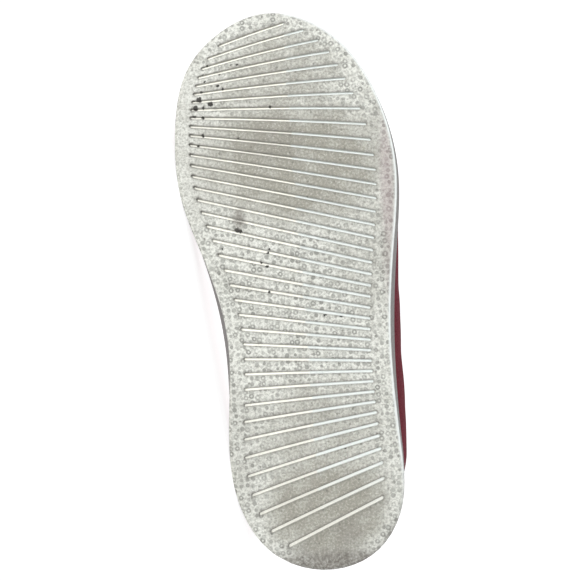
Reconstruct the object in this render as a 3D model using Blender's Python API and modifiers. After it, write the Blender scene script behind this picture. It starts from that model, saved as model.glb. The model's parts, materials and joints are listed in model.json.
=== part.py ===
"""Slip-on shoe for the left foot: moulded sole, hollow felt upper and loose insole.

The shoe is modelled upright in its own frame and then laid on its inner side, the way it
comes to rest on a floor. Own frame: X across towards the inner (medial) side, Y from the back
of the heel to the toe, Z up from the ground that the tread would stand on. Metres.
"""

import math

import bmesh
import bpy
import numpy as np
from mathutils import Matrix, Vector

COLLECTION_NAME = "slip_on_shoe"
CUTTER_COLLECTION_NAME = "slip_on_shoe_cutters"
MM = 0.001

# ---- driving dimensions: the sole's outline ----
SOLE_LENGTH = 270.0 * MM
HEEL_WIDTH = 82.0 * MM
WAIST_WIDTH = 78.2 * MM
BALL_WIDTH = 104.6 * MM
EDGE_SAMPLES = 1600

# ---- the sole's heights ----
HEEL_THICKNESS = 25.0 * MM
BALL_THICKNESS = 16.0 * MM
TOE_THICKNESS = 13.0 * MM
ARCH_RISE = 2.5 * MM
TOE_SPRING = 9.0 * MM
HEEL_SPRING = 1.5 * MM
# Where each of them starts or ends, as a share of the length from the heel.
HEEL_SPRING_END = 0.06
ARCH_START = 0.30
ARCH_END = 0.60
TOE_SPRING_START = 0.76
HEEL_THICK_TO = 0.18
BALL_THICK_AT = 0.72
EDGE_RADIUS = 2.5 * MM
LIP_RADIUS = 1.2 * MM
SIDEWALL_HOLLOW = 0.5 * MM

# ---- the tread's fan of shallow grooves ----
GROOVE_DEPTH = 1.2 * MM
GROOVE_WIDTH = 1.45 * MM
GROOVE_PITCH = 6.0 * MM
# Towards the heel's back the grooves grow wider and lie further apart.
HEEL_PITCH_GAIN = 7.0 * MM
HEEL_GROOVE_GAIN = 0.53 * MM
HEEL_ZONE = 0.35
HEEL_GAIN_POWER = 1.5
TREAD_MARGIN_INNER = 8.2 * MM
TREAD_MARGIN_OUTER = 10.2 * MM
TREAD_MARGIN_TOE = 5.6 * MM
TOE_MARGIN_START = 0.86
FIRST_GROOVE_FROM_TOE = 7.0 * MM
LAST_GROOVE_FROM_HEEL = 10.0 * MM

# ---- the upper ----
WALL = 2.4 * MM
LEDGE = 2.2 * MM
OPENING_WIDTH = 64.0 * MM
HEEL_HEIGHT = 74.0 * MM
ANKLE_HEIGHT = 62.0 * MM
INNER_ANKLE_RISE = 2.0 * MM
THROAT_HEIGHT = 79.0 * MM
OPENING_SAMPLES = 1200
# How far the felt of the forepart gathers towards the throat: 0 spreads it evenly.
THROAT_GATHER = 0.72

# ---- the insole ----
INSOLE_THICKNESS = 4.0 * MM
INSOLE_CLEARANCE = 0.6 * MM
INSOLE_EDGE_RADIUS = 1.2 * MM
# The middle point of the insole's rounded edge lies this share of the radius in and down.
MID_ROUND = 1.0 - math.sin(math.radians(45.0))

# ---- fits and densities ----
GAP = 0.3 * MM
SOLE_DENSITY = 300.0
UPPER_DENSITY = 450.0
INSOLE_DENSITY = 250.0

# ---- fineness ----
SIDE_STEPS = 40
UPPER_ROWS = 15
GROOVE_STEPS = 5
GROOVE_SEARCH_STEPS = 1200
SMOOTH_UNDER = math.radians(50.0)
TREAD_EDGE_TURNS = (0.0, 30.0, 60.0, 90.0)
SIDEWALL_STATIONS = ((0.45, 0.30), (0.75, 0.75))
LIP_TURNS = (0.0, 45.0, 90.0)
GROOVE_END_TURNS = (45.0, 0.0, -45.0)

# A face of the hull counts as the inner side when its normal points this far along X.
INNER_SIDE_AT_LEAST = 0.8

# Edge of the sole seen from above, as shares of the length from the heel and shares of a width
# out from the centre line.
INNER_EDGE = (
    (0.036, 0.298 * HEEL_WIDTH),
    (0.113, 0.460 * HEEL_WIDTH),
    (0.222, 0.507 * HEEL_WIDTH),
    (0.400, 0.490 * WAIST_WIDTH),
    (0.557, 0.439 * BALL_WIDTH),
    (0.681, 0.530 * BALL_WIDTH),
    (0.796, 0.532 * BALL_WIDTH),
    (0.915, 0.446 * BALL_WIDTH),
    (0.973, 0.292 * BALL_WIDTH),
)
TOE_TIP = 0.094 * BALL_WIDTH
OUTER_EDGE = (
    (0.025, 0.288 * HEEL_WIDTH),
    (0.102, 0.468 * HEEL_WIDTH),
    (0.215, 0.494 * HEEL_WIDTH),
    (0.407, 0.510 * WAIST_WIDTH),
    (0.563, 0.426 * BALL_WIDTH),
    (0.704, 0.464 * BALL_WIDTH),
    (0.822, 0.409 * BALL_WIDTH),
    (0.920, 0.281 * BALL_WIDTH),
    (0.973, 0.134 * BALL_WIDTH),
)

# How far the sidewall leans out above the tread's edge, by share of the length.
FLARE_INNER = ((0.0, 0.8 * MM), (0.18, 0.8 * MM), (0.42, 4.0 * MM), (0.7, 0.4 * MM), (1.0, 0.8 * MM))
FLARE_OUTER = ((0.0, 0.8 * MM), (0.2, 1.0 * MM), (0.42, 2.2 * MM), (0.7, 1.4 * MM), (1.0, 0.8 * MM))

# Turn of the grooves out of square in degrees, by share of the length; a positive turn brings the
# inner end forward.
FAN_ANGLE = (
    (0.049, -25.5),
    (0.129, -20.6),
    (0.226, -11.5),
    (0.324, -0.3),
    (0.435, 10.2),
    (0.524, 15.6),
    (0.593, 17.1),
    (0.685, 15.0),
    (0.777, 9.3),
    (0.866, -0.4),
    (0.974, -12.2),
)
# How much a groove bows back at its ends, per metre of half its length squared.
FAN_BOW = ((0.0, 0.10), (0.3, 0.15), (0.6, 0.0), (0.85, 0.45), (1.0, 1.6))

# The opening seen from above, as shares of the length and of half the opening's width.
OPENING_EDGE = (
    (0.046, 0.52),
    (0.110, 0.88),
    (0.220, 1.00),
    (0.350, 0.94),
    (0.460, 0.72),
    (0.530, 0.38),
)
OPENING_BACK = 0.030
OPENING_FRONT = 0.555
# Where the opening's edge leaves its height at the heel, is lowest, and climbs to the throat, and
# how far it has fallen or climbed at the first and the last of these.
EDGE_FALLS_AT = 0.10
EDGE_LOWEST_AT = 0.27
EDGE_CLIMBS_AT = 0.43
FALLEN_PART = 0.25
CLIMBED_PART = 0.45

# Shape of the felt where it leaves the sole and where it reaches the opening, by share of the
# way round from the heel (0) to the toe (1): outward lean, reach of the curve above the sole,
# steepness at the opening in degrees, and reach of the curve below the opening.
START_LEAN_INNER = (
    (0.0, 0.10),
    (0.27, 0.46),
    (0.36, 0.32),
    (0.45, 0.24),
    (0.62, 0.44),
    (0.72, 0.33),
    (0.85, 0.08),
    (1.0, 0.05),
)
START_LEAN_OUTER = (
    (0.0, 0.10),
    (0.20, 0.20),
    (0.26, 0.56),
    (0.37, 0.66),
    (0.44, 0.62),
    (0.53, 0.40),
    (0.65, 0.16),
    (0.85, 0.06),
    (1.0, 0.05),
)
START_REACH = ((0.0, 24.0 * MM), (0.3, 22.0 * MM), (0.6, 25.0 * MM), (0.8, 25.0 * MM), (1.0, 25.0 * MM))
END_ANGLE = ((0.0, 80.0), (0.3, 76.0), (0.5, 62.0), (0.7, 44.0), (0.85, 30.0), (1.0, 22.0))
END_REACH = ((0.0, 20.0 * MM), (0.3, 18.0 * MM), (0.5, 26.0 * MM), (0.7, 36.0 * MM), (1.0, 62.0 * MM))


def clear_scene():
    """Remove every object that the file starts with."""
    for item in list(bpy.data.objects):
        bpy.data.objects.remove(item, do_unlink=True)


def new_collection(name):
    """Add a collection under the scene."""
    collection = bpy.data.collections.new(name)
    bpy.context.scene.collection.children.link(collection)
    return collection


def new_material(name, colour, roughness):
    """Make a plain material from a linear colour and a roughness."""
    material = bpy.data.materials.new(name)
    material.use_nodes = True
    shader = material.node_tree.nodes["Principled BSDF"]
    shader.inputs["Base Color"].default_value = (*colour, 1.0)
    shader.inputs["Roughness"].default_value = roughness
    shader.inputs["Metallic"].default_value = 0.0
    return material


def along(stations, share):
    """Read a smooth curve through (share, value) stations at one share."""
    shares = [station[0] for station in stations]
    values = [station[1] for station in stations]
    if share <= shares[0]:
        return values[0]
    if share >= shares[-1]:
        return values[-1]
    last = len(shares) - 1
    left = max(i for i in range(last) if shares[i] <= share)
    slopes = []
    for i in (left, left + 1):
        before = max(i - 1, 0)
        after = min(i + 1, last)
        slopes.append((values[after] - values[before]) / (shares[after] - shares[before]))
    width = shares[left + 1] - shares[left]
    t = (share - shares[left]) / width
    return (
        values[left] * (2 * t**3 - 3 * t**2 + 1)
        + slopes[0] * width * (t**3 - 2 * t**2 + t)
        + values[left + 1] * (3 * t**2 - 2 * t**3)
        + slopes[1] * width * (t**3 - t**2)
    )


def closed_curve(points, count):
    """Sample the closed cubic spline through the points at evenly spaced parameters."""
    points = np.asarray(points, dtype=float)
    following = np.roll(points, -1, axis=0)
    lengths = np.linalg.norm(following - points, axis=1)
    before = np.roll(lengths, 1)
    size = len(points)
    system = np.zeros((size, size))
    right = np.zeros_like(points)
    for i in range(size):
        system[i, (i - 1) % size] = lengths[i]
        system[i, i] = 2.0 * (lengths[i] + before[i])
        system[i, (i + 1) % size] = before[i]
        ahead = (following[i] - points[i]) / lengths[i]
        behind = (points[i] - points[i - 1]) / before[i]
        right[i] = 3.0 * (before[i] * ahead + lengths[i] * behind)
    slopes = np.linalg.solve(system, right)
    starts = np.concatenate(([0.0], np.cumsum(lengths)))
    samples = []
    for place in np.linspace(0.0, starts[-1], count, endpoint=False):
        i = int(np.searchsorted(starts, place, side="right")) - 1
        t = (place - starts[i]) / lengths[i]
        j = (i + 1) % size
        samples.append(
            points[i] * (2 * t**3 - 3 * t**2 + 1)
            + slopes[i] * lengths[i] * (t**3 - 2 * t**2 + t)
            + points[j] * (3 * t**2 - 2 * t**3)
            + slopes[j] * lengths[i] * (t**3 - t**2)
        )
    return np.array(samples)


def sole_edge():
    """Sample the edge of the tread, from the heel along the inner side and back."""
    points = [(0.0, 0.0)]
    points += [(width, share * SOLE_LENGTH) for share, width in INNER_EDGE]
    points.append((TOE_TIP, SOLE_LENGTH))
    points += [(-width, share * SOLE_LENGTH) for share, width in reversed(OUTER_EDGE)]
    return closed_curve(points, EDGE_SAMPLES)


def opening_edge():
    """Sample the opening's edge, from the back along the inner side and back."""
    half = OPENING_WIDTH / 2.0
    points = [(0.0, OPENING_BACK * SOLE_LENGTH)]
    points += [(width * half, share * SOLE_LENGTH) for share, width in OPENING_EDGE]
    points.append((0.0, OPENING_FRONT * SOLE_LENGTH))
    points += [(-width * half, share * SOLE_LENGTH) for share, width in reversed(OPENING_EDGE)]
    return closed_curve(points, OPENING_SAMPLES)


def outward(curve):
    """Unit normals that point out of a closed plan curve that runs anticlockwise."""
    tangent = np.roll(curve, -1, axis=0) - np.roll(curve, 1, axis=0)
    tangent /= np.linalg.norm(tangent, axis=1)[:, None]
    return np.stack([tangent[:, 1], -tangent[:, 0]], axis=1)


def flare_of(curve):
    """How far the sidewall's lip stands out at each point of the sole's edge."""
    shares = np.clip(curve[:, 1] / SOLE_LENGTH, 0.0, 1.0)
    inner = np.array([along(FLARE_INNER, share) for share in shares])
    outer = np.array([along(FLARE_OUTER, share) for share in shares])
    return np.where(curve[:, 0] > 0.0, inner, outer)


def paired_ring(curve):
    """Points round a plan curve, in pairs that face each other at one Y.

    Point 0 is the heel's end and point SIDE_STEPS the toe's; the inner side lies between them.
    """
    back = int(np.argmin(curve[:, 1]))
    rolled = np.roll(curve, -back, axis=0)
    front = int(np.argmax(rolled[:, 1]))
    inner = rolled[: front + 1]
    outer = np.concatenate([rolled[front:], rolled[:1]])[::-1]
    low = rolled[0, 1]
    high = rolled[front, 1]
    ring = []
    for k in range(SIDE_STEPS + 1):
        y = low + (high - low) * (1.0 - math.cos(math.pi * k / SIDE_STEPS)) / 2.0
        ring.append((np.interp(y, inner[:, 1], inner[:, 0]), y))
    ring[0] = tuple(rolled[0])
    ring[SIDE_STEPS] = tuple(rolled[front])
    for k in range(SIDE_STEPS - 1, 0, -1):
        y = ring[k][1]
        ring.append((np.interp(y, outer[:, 1], outer[:, 0]), y))
    return np.array(ring)


def ease(value, low, high):
    """Go smoothly from 0 at low to 1 at high."""
    t = min(max((value - low) / (high - low), 0.0), 1.0)
    return t * t * (3.0 - 2.0 * t)


def toe_lift(y):
    """Rise of the forepart towards the toe."""
    start = TOE_SPRING_START * SOLE_LENGTH
    return TOE_SPRING * (max(y - start, 0.0) / (SOLE_LENGTH - start)) ** 2


def tread_height(y):
    """Height of the tread above the ground: flat heel and forepart, raised arch and ends."""
    share = y / SOLE_LENGTH
    arch = 0.0
    if ARCH_START < share < ARCH_END:
        arch = ARCH_RISE * math.sin(math.pi * (share - ARCH_START) / (ARCH_END - ARCH_START)) ** 2
    back = HEEL_SPRING * (max(HEEL_SPRING_END - share, 0.0) / HEEL_SPRING_END) ** 2
    return arch + back + toe_lift(y)


def footbed_height(y):
    """Height of the sole's upper face, which the insole and the upper stand on."""
    share = y / SOLE_LENGTH
    drop = (HEEL_THICKNESS - BALL_THICKNESS) * ease(share, HEEL_THICK_TO, BALL_THICK_AT)
    thin = (BALL_THICKNESS - TOE_THICKNESS) * ease(share, BALL_THICK_AT, 1.0)
    return HEEL_THICKNESS - drop - thin + toe_lift(y)


def add_ring(mesh, ring, heights):
    """Add one ring of vertices."""
    return [mesh.verts.new((x, y, z)) for (x, y), z in zip(ring, heights)]


def join_rings(mesh, lower, upper):
    """Join two rings with quads that face outwards."""
    count = len(lower)
    for i in range(count):
        j = (i + 1) % count
        mesh.faces.new((lower[i], lower[j], upper[j], upper[i]))


def close_ring(mesh, ring, upwards):
    """Close a ring with strips across it, from each point to the one that faces it."""
    count = len(ring)
    half = count // 2
    for k in range(half):
        corners = [ring[k], ring[k + 1], ring[(count - k - 1) % count], ring[(count - k) % count]]
        corners = list(dict.fromkeys(corners))
        if not upwards:
            corners.reverse()
        mesh.faces.new(corners)


def add_object(name, mesh, collection, material=None):
    """Turn a bmesh into an object, shaded smooth but for its sharp edges."""
    data = bpy.data.meshes.new(name)
    mesh.to_mesh(data)
    mesh.free()
    data.shade_smooth()
    data.set_sharp_from_angle(angle=SMOOTH_UNDER)
    item = bpy.data.objects.new(name, data)
    collection.objects.link(item)
    if material is not None:
        data.materials.append(material)
    return item


def solid_from_rings(rings):
    """Loft rings of (plan, heights) from the bottom up into one closed body."""
    mesh = bmesh.new()
    added = [add_ring(mesh, plan, heights) for plan, heights in rings]
    for lower, upper in zip(added, added[1:]):
        join_rings(mesh, lower, upper)
    close_ring(mesh, added[0], upwards=False)
    close_ring(mesh, added[-1], upwards=True)
    return mesh


def sole_rings(edge):
    """Rings of the sole: rounded tread edge, hollow sidewall that flares, rounded lip."""
    normals = outward(edge)
    flare = flare_of(edge)[:, None]
    rings = []
    for degrees in TREAD_EDGE_TURNS:
        turn = math.radians(degrees)
        plan = paired_ring(edge - normals * EDGE_RADIUS * (1.0 - math.sin(turn)))
        lift = EDGE_RADIUS * (1.0 - math.cos(turn))
        rings.append((plan, [tread_height(y) + lift for y in plan[:, 1]]))
    for share, lean in SIDEWALL_STATIONS:
        hollow = SIDEWALL_HOLLOW * math.sin(math.pi * share)
        plan = paired_ring(edge + normals * (flare * lean - hollow))
        heights = []
        for y in plan[:, 1]:
            low = tread_height(y) + EDGE_RADIUS
            high = footbed_height(y) - LIP_RADIUS
            heights.append(low + (high - low) * share)
        rings.append((plan, heights))
    for degrees in LIP_TURNS:
        turn = math.radians(degrees)
        plan = paired_ring(edge + normals * (flare - LIP_RADIUS * (1.0 - math.cos(turn))))
        drop = LIP_RADIUS * (1.0 - math.sin(turn))
        rings.append((plan, [footbed_height(y) - drop for y in plan[:, 1]]))
    return rings


def heel_gain(y):
    """How far the grooves at one place have changed to their size at the heel's back, 0 to 1."""
    zone = HEEL_ZONE * SOLE_LENGTH
    return (max(zone - y, 0.0) / zone) ** HEEL_GAIN_POWER


def groove_places():
    """Places along the centre line where the grooves cross it, from the toe to the heel."""
    places = []
    y = SOLE_LENGTH - FIRST_GROOVE_FROM_TOE
    while y > LAST_GROOVE_FROM_HEEL:
        places.append(y)
        y -= GROOVE_PITCH + HEEL_PITCH_GAIN * heel_gain(y)
    return places


def tread_field(edge):
    """The plan curve that every groove stays within."""
    shares = edge[:, 1] / SOLE_LENGTH
    toe = np.array([ease(share, TOE_MARGIN_START, 1.0) for share in shares])
    margin = np.where(edge[:, 0] > 0.0, TREAD_MARGIN_INNER, TREAD_MARGIN_OUTER)
    margin = margin * (1.0 - toe) + TREAD_MARGIN_TOE * toe
    return edge - outward(edge) * margin[:, None]


def groove_line(place, field):
    """Centre line of one groove, from the inner side of the tread field to the outer side."""
    share = place / SOLE_LENGTH
    slope = math.tan(math.radians(along(FAN_ANGLE, share)))
    bow = along(FAN_BOW, share)
    back = int(np.argmin(field[:, 1]))
    rolled = np.roll(field, -back, axis=0)
    front = int(np.argmax(rolled[:, 1]))
    inner = rolled[: front + 1]
    outer = rolled[front:][::-1]
    across = np.linspace(-BALL_WIDTH, BALL_WIDTH, GROOVE_SEARCH_STEPS + 1)
    line_y = place + slope * across - bow * across**2
    inside = (across < np.interp(line_y, inner[:, 1], inner[:, 0], left=-1.0, right=-1.0)) & (
        across > np.interp(line_y, outer[:, 1], outer[:, 0], left=1.0, right=1.0)
    )
    held = across[inside]
    if len(held) < 2:
        return None
    xs = np.linspace(held[-1], held[0], GROOVE_STEPS + 1)
    return np.stack([xs, place + slope * xs - bow * xs**2], axis=1)


def add_groove(mesh, line, width):
    """Add one closed bar with round ends that cuts a groove of even depth."""
    tangent = np.gradient(line, axis=0)
    tangent /= np.linalg.norm(tangent, axis=1)[:, None]
    side = np.stack([-tangent[:, 1], tangent[:, 0]], axis=1)
    half = width / 2.0
    left = [line[i] + side[i] * half for i in range(len(line))]
    right = [line[i] - side[i] * half for i in range(len(line))]
    ends = []
    for i, sign in ((0, -1.0), (len(line) - 1, 1.0)):
        for degrees in GROOVE_END_TURNS:
            turn = math.radians(degrees)
            ahead = tangent[i] * sign * half * math.cos(turn)
            ends.append(line[i] + ahead + side[i] * half * math.sin(turn))
    rows = [[ends[0], ends[1], ends[2]]]
    rows += [[left[i], line[i], right[i]] for i in range(len(line))]
    rows += [[ends[3], ends[4], ends[5]]]
    deep = []
    shallow = []
    for row in rows:
        deep.append([mesh.verts.new((x, y, tread_height(y) + GROOVE_DEPTH)) for x, y in row])
        shallow.append([mesh.verts.new((x, y, tread_height(y) - GROOVE_DEPTH)) for x, y in row])
    for a, b, c, d in zip(deep, deep[1:], shallow, shallow[1:]):
        for i in (0, 1):
            mesh.faces.new((a[i], a[i + 1], b[i + 1], b[i]))
            mesh.faces.new((c[i], d[i], d[i + 1], c[i + 1]))
        mesh.faces.new((a[0], b[0], d[0], c[0]))
        mesh.faces.new((a[2], c[2], d[2], b[2]))
    for top, bottom in ((deep[0], shallow[0]), (deep[-1], shallow[-1])):
        mesh.faces.new((top[0], top[1], bottom[1], bottom[0]))
        mesh.faces.new((top[1], top[2], bottom[2], bottom[1]))


def make_groove_cutter(edge, collection):
    """Make all of the tread's grooves as one cutter."""
    field = tread_field(edge)
    mesh = bmesh.new()
    count = 0
    for place in groove_places():
        line = groove_line(place, field)
        if line is None:
            continue
        add_groove(mesh, line, GROOVE_WIDTH + HEEL_GROOVE_GAIN * heel_gain(place))
        count += 1
    print("grooves", count)
    bmesh.ops.recalc_face_normals(mesh, faces=mesh.faces)
    cutter = add_object("groove_cutter", mesh, collection)
    cutter.hide_render = True
    cutter.display_type = "WIRE"
    return cutter


def make_sole(edge, collection, cutters):
    """Mould the sole and cut its grooves."""
    mesh = solid_from_rings(sole_rings(edge))
    foam = new_material("moulded_foam", (0.60, 0.59, 0.54), 0.7)
    sole = add_object("sole", mesh, collection, foam)
    cut = sole.modifiers.new("grooves", "BOOLEAN")
    cut.operation = "DIFFERENCE"
    cut.solver = "EXACT"
    cut.object = make_groove_cutter(edge, cutters)
    return sole


def opening_height(share, inner):
    """Height of the opening's edge, by share of the length."""
    lowest = ANKLE_HEIGHT + (INNER_ANKLE_RISE if inner else 0.0)
    stations = (
        (OPENING_BACK, HEEL_HEIGHT),
        (EDGE_FALLS_AT, HEEL_HEIGHT - FALLEN_PART * (HEEL_HEIGHT - lowest)),
        (EDGE_LOWEST_AT, lowest),
        (EDGE_CLIMBS_AT, lowest + CLIMBED_PART * (THROAT_HEIGHT - lowest)),
        (OPENING_FRONT, THROAT_HEIGHT),
    )
    return along(stations, share)


def opening_ring():
    """Points round the opening, one for each point round the sole, with their outward normals.

    They lie closer together round the throat, where the felt from the whole forepart gathers.
    """
    curve = opening_edge()
    normals = outward(curve)
    back = int(np.argmin(curve[:, 1]))
    curve = np.roll(curve, -back, axis=0)
    normals = np.roll(normals, -back, axis=0)
    front = int(np.argmax(curve[:, 1]))
    count = len(curve)
    places = []
    for k in range(2 * SIDE_STEPS):
        inner = k <= SIDE_STEPS
        t = (k if inner else 2 * SIDE_STEPS - k) / SIDE_STEPS
        share = t * (1.0 + THROAT_GATHER * (1.0 - t))
        place = share * front if inner else count - share * (count - front)
        places.append(place)
    ring = []
    for place in places:
        i = int(place) % count
        j = (i + 1) % count
        part = place - int(place)
        point = curve[i] * (1.0 - part) + curve[j] * part
        normal = normals[i] * (1.0 - part) + normals[j] * part
        ring.append((point, normal / np.linalg.norm(normal)))
    return ring


def feather_plan(edge, inset):
    """Plan ring that runs inside the sole's lip by the inset."""
    return paired_ring(edge + outward(edge) * (flare_of(edge)[:, None] - inset))


def upper_rows(edge):
    """Rows of points up the outside of the upper, from the sole to the opening."""
    feather = feather_plan(edge, LEDGE)
    normals = outward(feather)
    opening = opening_ring()
    columns = []
    for k in range(2 * SIDE_STEPS):
        inner = 0 < k < SIDE_STEPS
        t = (k if k <= SIDE_STEPS else 2 * SIDE_STEPS - k) / SIDE_STEPS
        x, y = feather[k]
        start = Vector((x, y, footbed_height(y) + GAP))
        lean = along(START_LEAN_INNER if inner else START_LEAN_OUTER, t)
        out = Vector((*normals[k], 0.0))
        reach = along(START_REACH, t)
        first = start + (out * lean + Vector((0.0, 0.0, 1.0))) * reach
        (px, py), normal = opening[k]
        end = Vector((px, py, opening_height(py / SOLE_LENGTH, inner)))
        angle = math.radians(along(END_ANGLE, t))
        down = Vector((*(normal * math.cos(angle)), -math.sin(angle)))
        second = end + down * along(END_REACH, t)
        columns.append((start, first, second, end))
    rows = []
    for j in range(UPPER_ROWS + 1):
        t = j / UPPER_ROWS
        weights = ((1 - t) ** 3, 3 * t * (1 - t) ** 2, 3 * t * t * (1 - t), t**3)
        rows.append([sum((w * p for w, p in zip(weights, column)), Vector()) for column in columns])
    return rows


def make_upper(edge, collection):
    """Pull the felt over the last: an open surface with the felt's thickness inwards."""
    mesh = bmesh.new()
    rows = [[mesh.verts.new(point) for point in row] for row in upper_rows(edge)]
    for lower, upper in zip(rows, rows[1:]):
        join_rings(mesh, lower, upper)
    felt = new_material("red_felt", (0.13, 0.018, 0.030), 0.95)
    item = add_object("upper", mesh, collection, felt)
    wall = item.modifiers.new("felt_thickness", "SOLIDIFY")
    wall.thickness = WALL
    wall.offset = -1.0
    wall.use_even_offset = True
    return item


def make_insole(edge, collection):
    """Cut the loose insole to the inside of the upper, with a rounded upper edge."""
    inset = LEDGE + WALL + INSOLE_CLEARANCE
    rings = []
    for inward, lift in (
        (0.0, 0.0),
        (0.0, INSOLE_THICKNESS - INSOLE_EDGE_RADIUS),
        (MID_ROUND * INSOLE_EDGE_RADIUS, INSOLE_THICKNESS - MID_ROUND * INSOLE_EDGE_RADIUS),
        (INSOLE_EDGE_RADIUS, INSOLE_THICKNESS),
    ):
        plan = feather_plan(edge, inset + inward)
        rings.append((plan, [footbed_height(y) + GAP + lift for y in plan[:, 1]]))
    cloth = new_material("insole_cloth", (0.30, 0.28, 0.26), 0.9)
    return add_object("insole", solid_from_rings(rings), collection, cloth)


def evaluated_points(item):
    """World vertices, volume and centre of volume of an object with its modifiers."""
    graph = bpy.context.evaluated_depsgraph_get()
    final = item.evaluated_get(graph)
    data = final.to_mesh()
    mesh = bmesh.new()
    mesh.from_mesh(data)
    final.to_mesh_clear()
    bmesh.ops.triangulate(mesh, faces=mesh.faces)
    points = [vertex.co.copy() for vertex in mesh.verts]
    volume = 0.0
    moment = Vector()
    for face in mesh.faces:
        a, b, c = (vertex.co for vertex in face.verts)
        part = a.dot(b.cross(c)) / 6.0
        volume += part
        moment += part * (a + b + c) / 4.0
    mesh.free()
    return points, volume, moment / volume


def resting_pose(items_and_densities):
    """Lay the shoe on its inner side: the face of its hull that its weight falls within."""
    points = []
    mass = 0.0
    moment = Vector()
    for item, density in items_and_densities:
        own, volume, centre = evaluated_points(item)
        points += own
        mass += volume * density
        moment += centre * volume * density
    centre = moment / mass
    hull = bmesh.new()
    for point in points:
        hull.verts.new(point)
    bmesh.ops.convex_hull(hull, input=hull.verts, use_existing_faces=False)
    inner_side = Vector((1.0, 0.0, 0.0))
    best = None
    for face in hull.faces:
        normal = face.normal.normalized()
        if normal.dot(inner_side) < INNER_SIDE_AT_LEAST:
            continue
        foot = centre + normal * normal.dot(face.verts[0].co - centre)
        corners = [vertex.co for vertex in face.verts]
        margins = []
        for a, b in zip(corners, corners[1:] + corners[:1]):
            along_edge = (b - a).normalized()
            margins.append((foot - a).dot(normal.cross(along_edge)))
        margin = min(margins)
        if best is None or margin > best[0]:
            best = (margin, normal.copy(), [corner.copy() for corner in corners])
    hull.free()
    margin, down, corners = best
    print("rests on", [tuple(round(v / MM, 1) for v in corner) for corner in corners])
    print("margin", round(margin / MM, 2), "centre", tuple(round(v / MM, 1) for v in centre))
    heelward = Vector((0.0, -1.0, 0.0))
    row_x = (heelward - down * heelward.dot(down)).normalized()
    row_z = -down
    row_y = row_z.cross(row_x)
    turn = Matrix((row_x, row_y, row_z)).to_4x4()
    turned = [turn @ point for point in points]
    low = Vector([min(point[i] for point in turned) for i in range(3)])
    high = Vector([max(point[i] for point in turned) for i in range(3)])
    middle = (low + high) / 2.0
    return Matrix.Translation((-middle.x, -middle.y, -low.z)) @ turn


def main():
    """Build the shoe."""
    clear_scene()
    parts = new_collection(COLLECTION_NAME)
    cutters = new_collection(CUTTER_COLLECTION_NAME)
    edge = sole_edge()
    sole = make_sole(edge, parts, cutters)
    upper = make_upper(edge, parts)
    insole = make_insole(edge, parts)
    pose = resting_pose(
        [(sole, SOLE_DENSITY), (upper, UPPER_DENSITY), (insole, INSOLE_DENSITY)]
    )
    shoe = bpy.data.objects.new("shoe_pose", None)
    parts.objects.link(shoe)
    for item in (sole, upper, insole, *cutters.objects):
        item.parent = shoe
    shoe.matrix_world = pose


main()
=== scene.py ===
# %% [markdown]
# # A worn felt slip-on, lying on its side
#
# The shoe has three real pieces: a moulded foam sole with a fan of fine grooves, a felt upper that
# is one hollow shell, and a loose insole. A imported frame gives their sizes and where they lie. This
# script loads it, measures the shoe's own axes on it, and builds each piece again with the detail
# that the frame leaves out. Nothing else is read.

# %% Load the frame
import json
import math

import bpy
import numpy as np
from mathutils import Matrix, Vector, noise


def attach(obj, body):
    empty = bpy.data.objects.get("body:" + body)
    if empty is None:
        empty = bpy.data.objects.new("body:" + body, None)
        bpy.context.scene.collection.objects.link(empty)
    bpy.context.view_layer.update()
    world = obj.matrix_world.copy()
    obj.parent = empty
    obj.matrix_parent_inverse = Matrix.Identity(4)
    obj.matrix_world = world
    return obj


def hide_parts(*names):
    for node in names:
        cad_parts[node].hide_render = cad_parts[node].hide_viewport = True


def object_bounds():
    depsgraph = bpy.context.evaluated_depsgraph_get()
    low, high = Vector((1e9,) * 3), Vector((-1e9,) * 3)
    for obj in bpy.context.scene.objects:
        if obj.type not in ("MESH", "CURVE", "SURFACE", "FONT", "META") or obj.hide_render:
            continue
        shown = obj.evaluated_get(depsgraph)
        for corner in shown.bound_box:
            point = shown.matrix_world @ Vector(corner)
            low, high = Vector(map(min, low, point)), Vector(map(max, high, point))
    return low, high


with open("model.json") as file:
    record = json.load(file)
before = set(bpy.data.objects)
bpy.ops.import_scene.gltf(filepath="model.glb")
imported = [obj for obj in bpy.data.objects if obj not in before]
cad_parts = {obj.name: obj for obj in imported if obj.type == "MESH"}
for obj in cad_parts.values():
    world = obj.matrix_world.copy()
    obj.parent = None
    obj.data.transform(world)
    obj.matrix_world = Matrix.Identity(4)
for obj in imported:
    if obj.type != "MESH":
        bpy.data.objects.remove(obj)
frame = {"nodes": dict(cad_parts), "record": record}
cad_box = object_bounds()
print("frame pieces", sorted(frame["nodes"]))

# %% [markdown]
# ## The shoe's own axes
#
# A shoemaker thinks in the shoe's own directions: across, from heel to toe, and up from the ground.
# The shoe lies on its side, so these are not the scene's directions. The record holds the flat
# under the heel, with its direction. From that one face the three directions follow, and every
# piece can be drawn upright in millimetres and laid down at the end.

# %% Axes from the flat under the heel
HEEL_FLAT_FROM_BACK = 39.5
heel_flat = next(m for m in frame["record"]["mounts"] if m["name"] == "heel_tread")
up = -Vector(heel_flat["axis"]).normalized()
forward = up.cross(Vector((0.0, 1.0, 0.0))).normalized()
inward = forward.cross(up).normalized()
origin = Vector(heel_flat["pos_m"]) - forward * HEEL_FLAT_FROM_BACK * 0.001
axes = np.array([inward, forward, up])
print("inner side points", [round(v, 3) for v in inward], "toe", [round(v, 3) for v in forward])


def lay_down(points):
    """Turn points in the shoe's own millimetres into the scene's metres."""
    return np.asarray(points, float) @ axes * 0.001 + np.array(origin)


# %% [markdown]
# ## Sizes
#
# These are the sizes of the frame's pieces, in millimetres, and the curves that were drawn through
# them. A curve is kept as a few stations, as on a last maker's sheet: how far along the shoe, and
# how wide or how high there.

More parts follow.
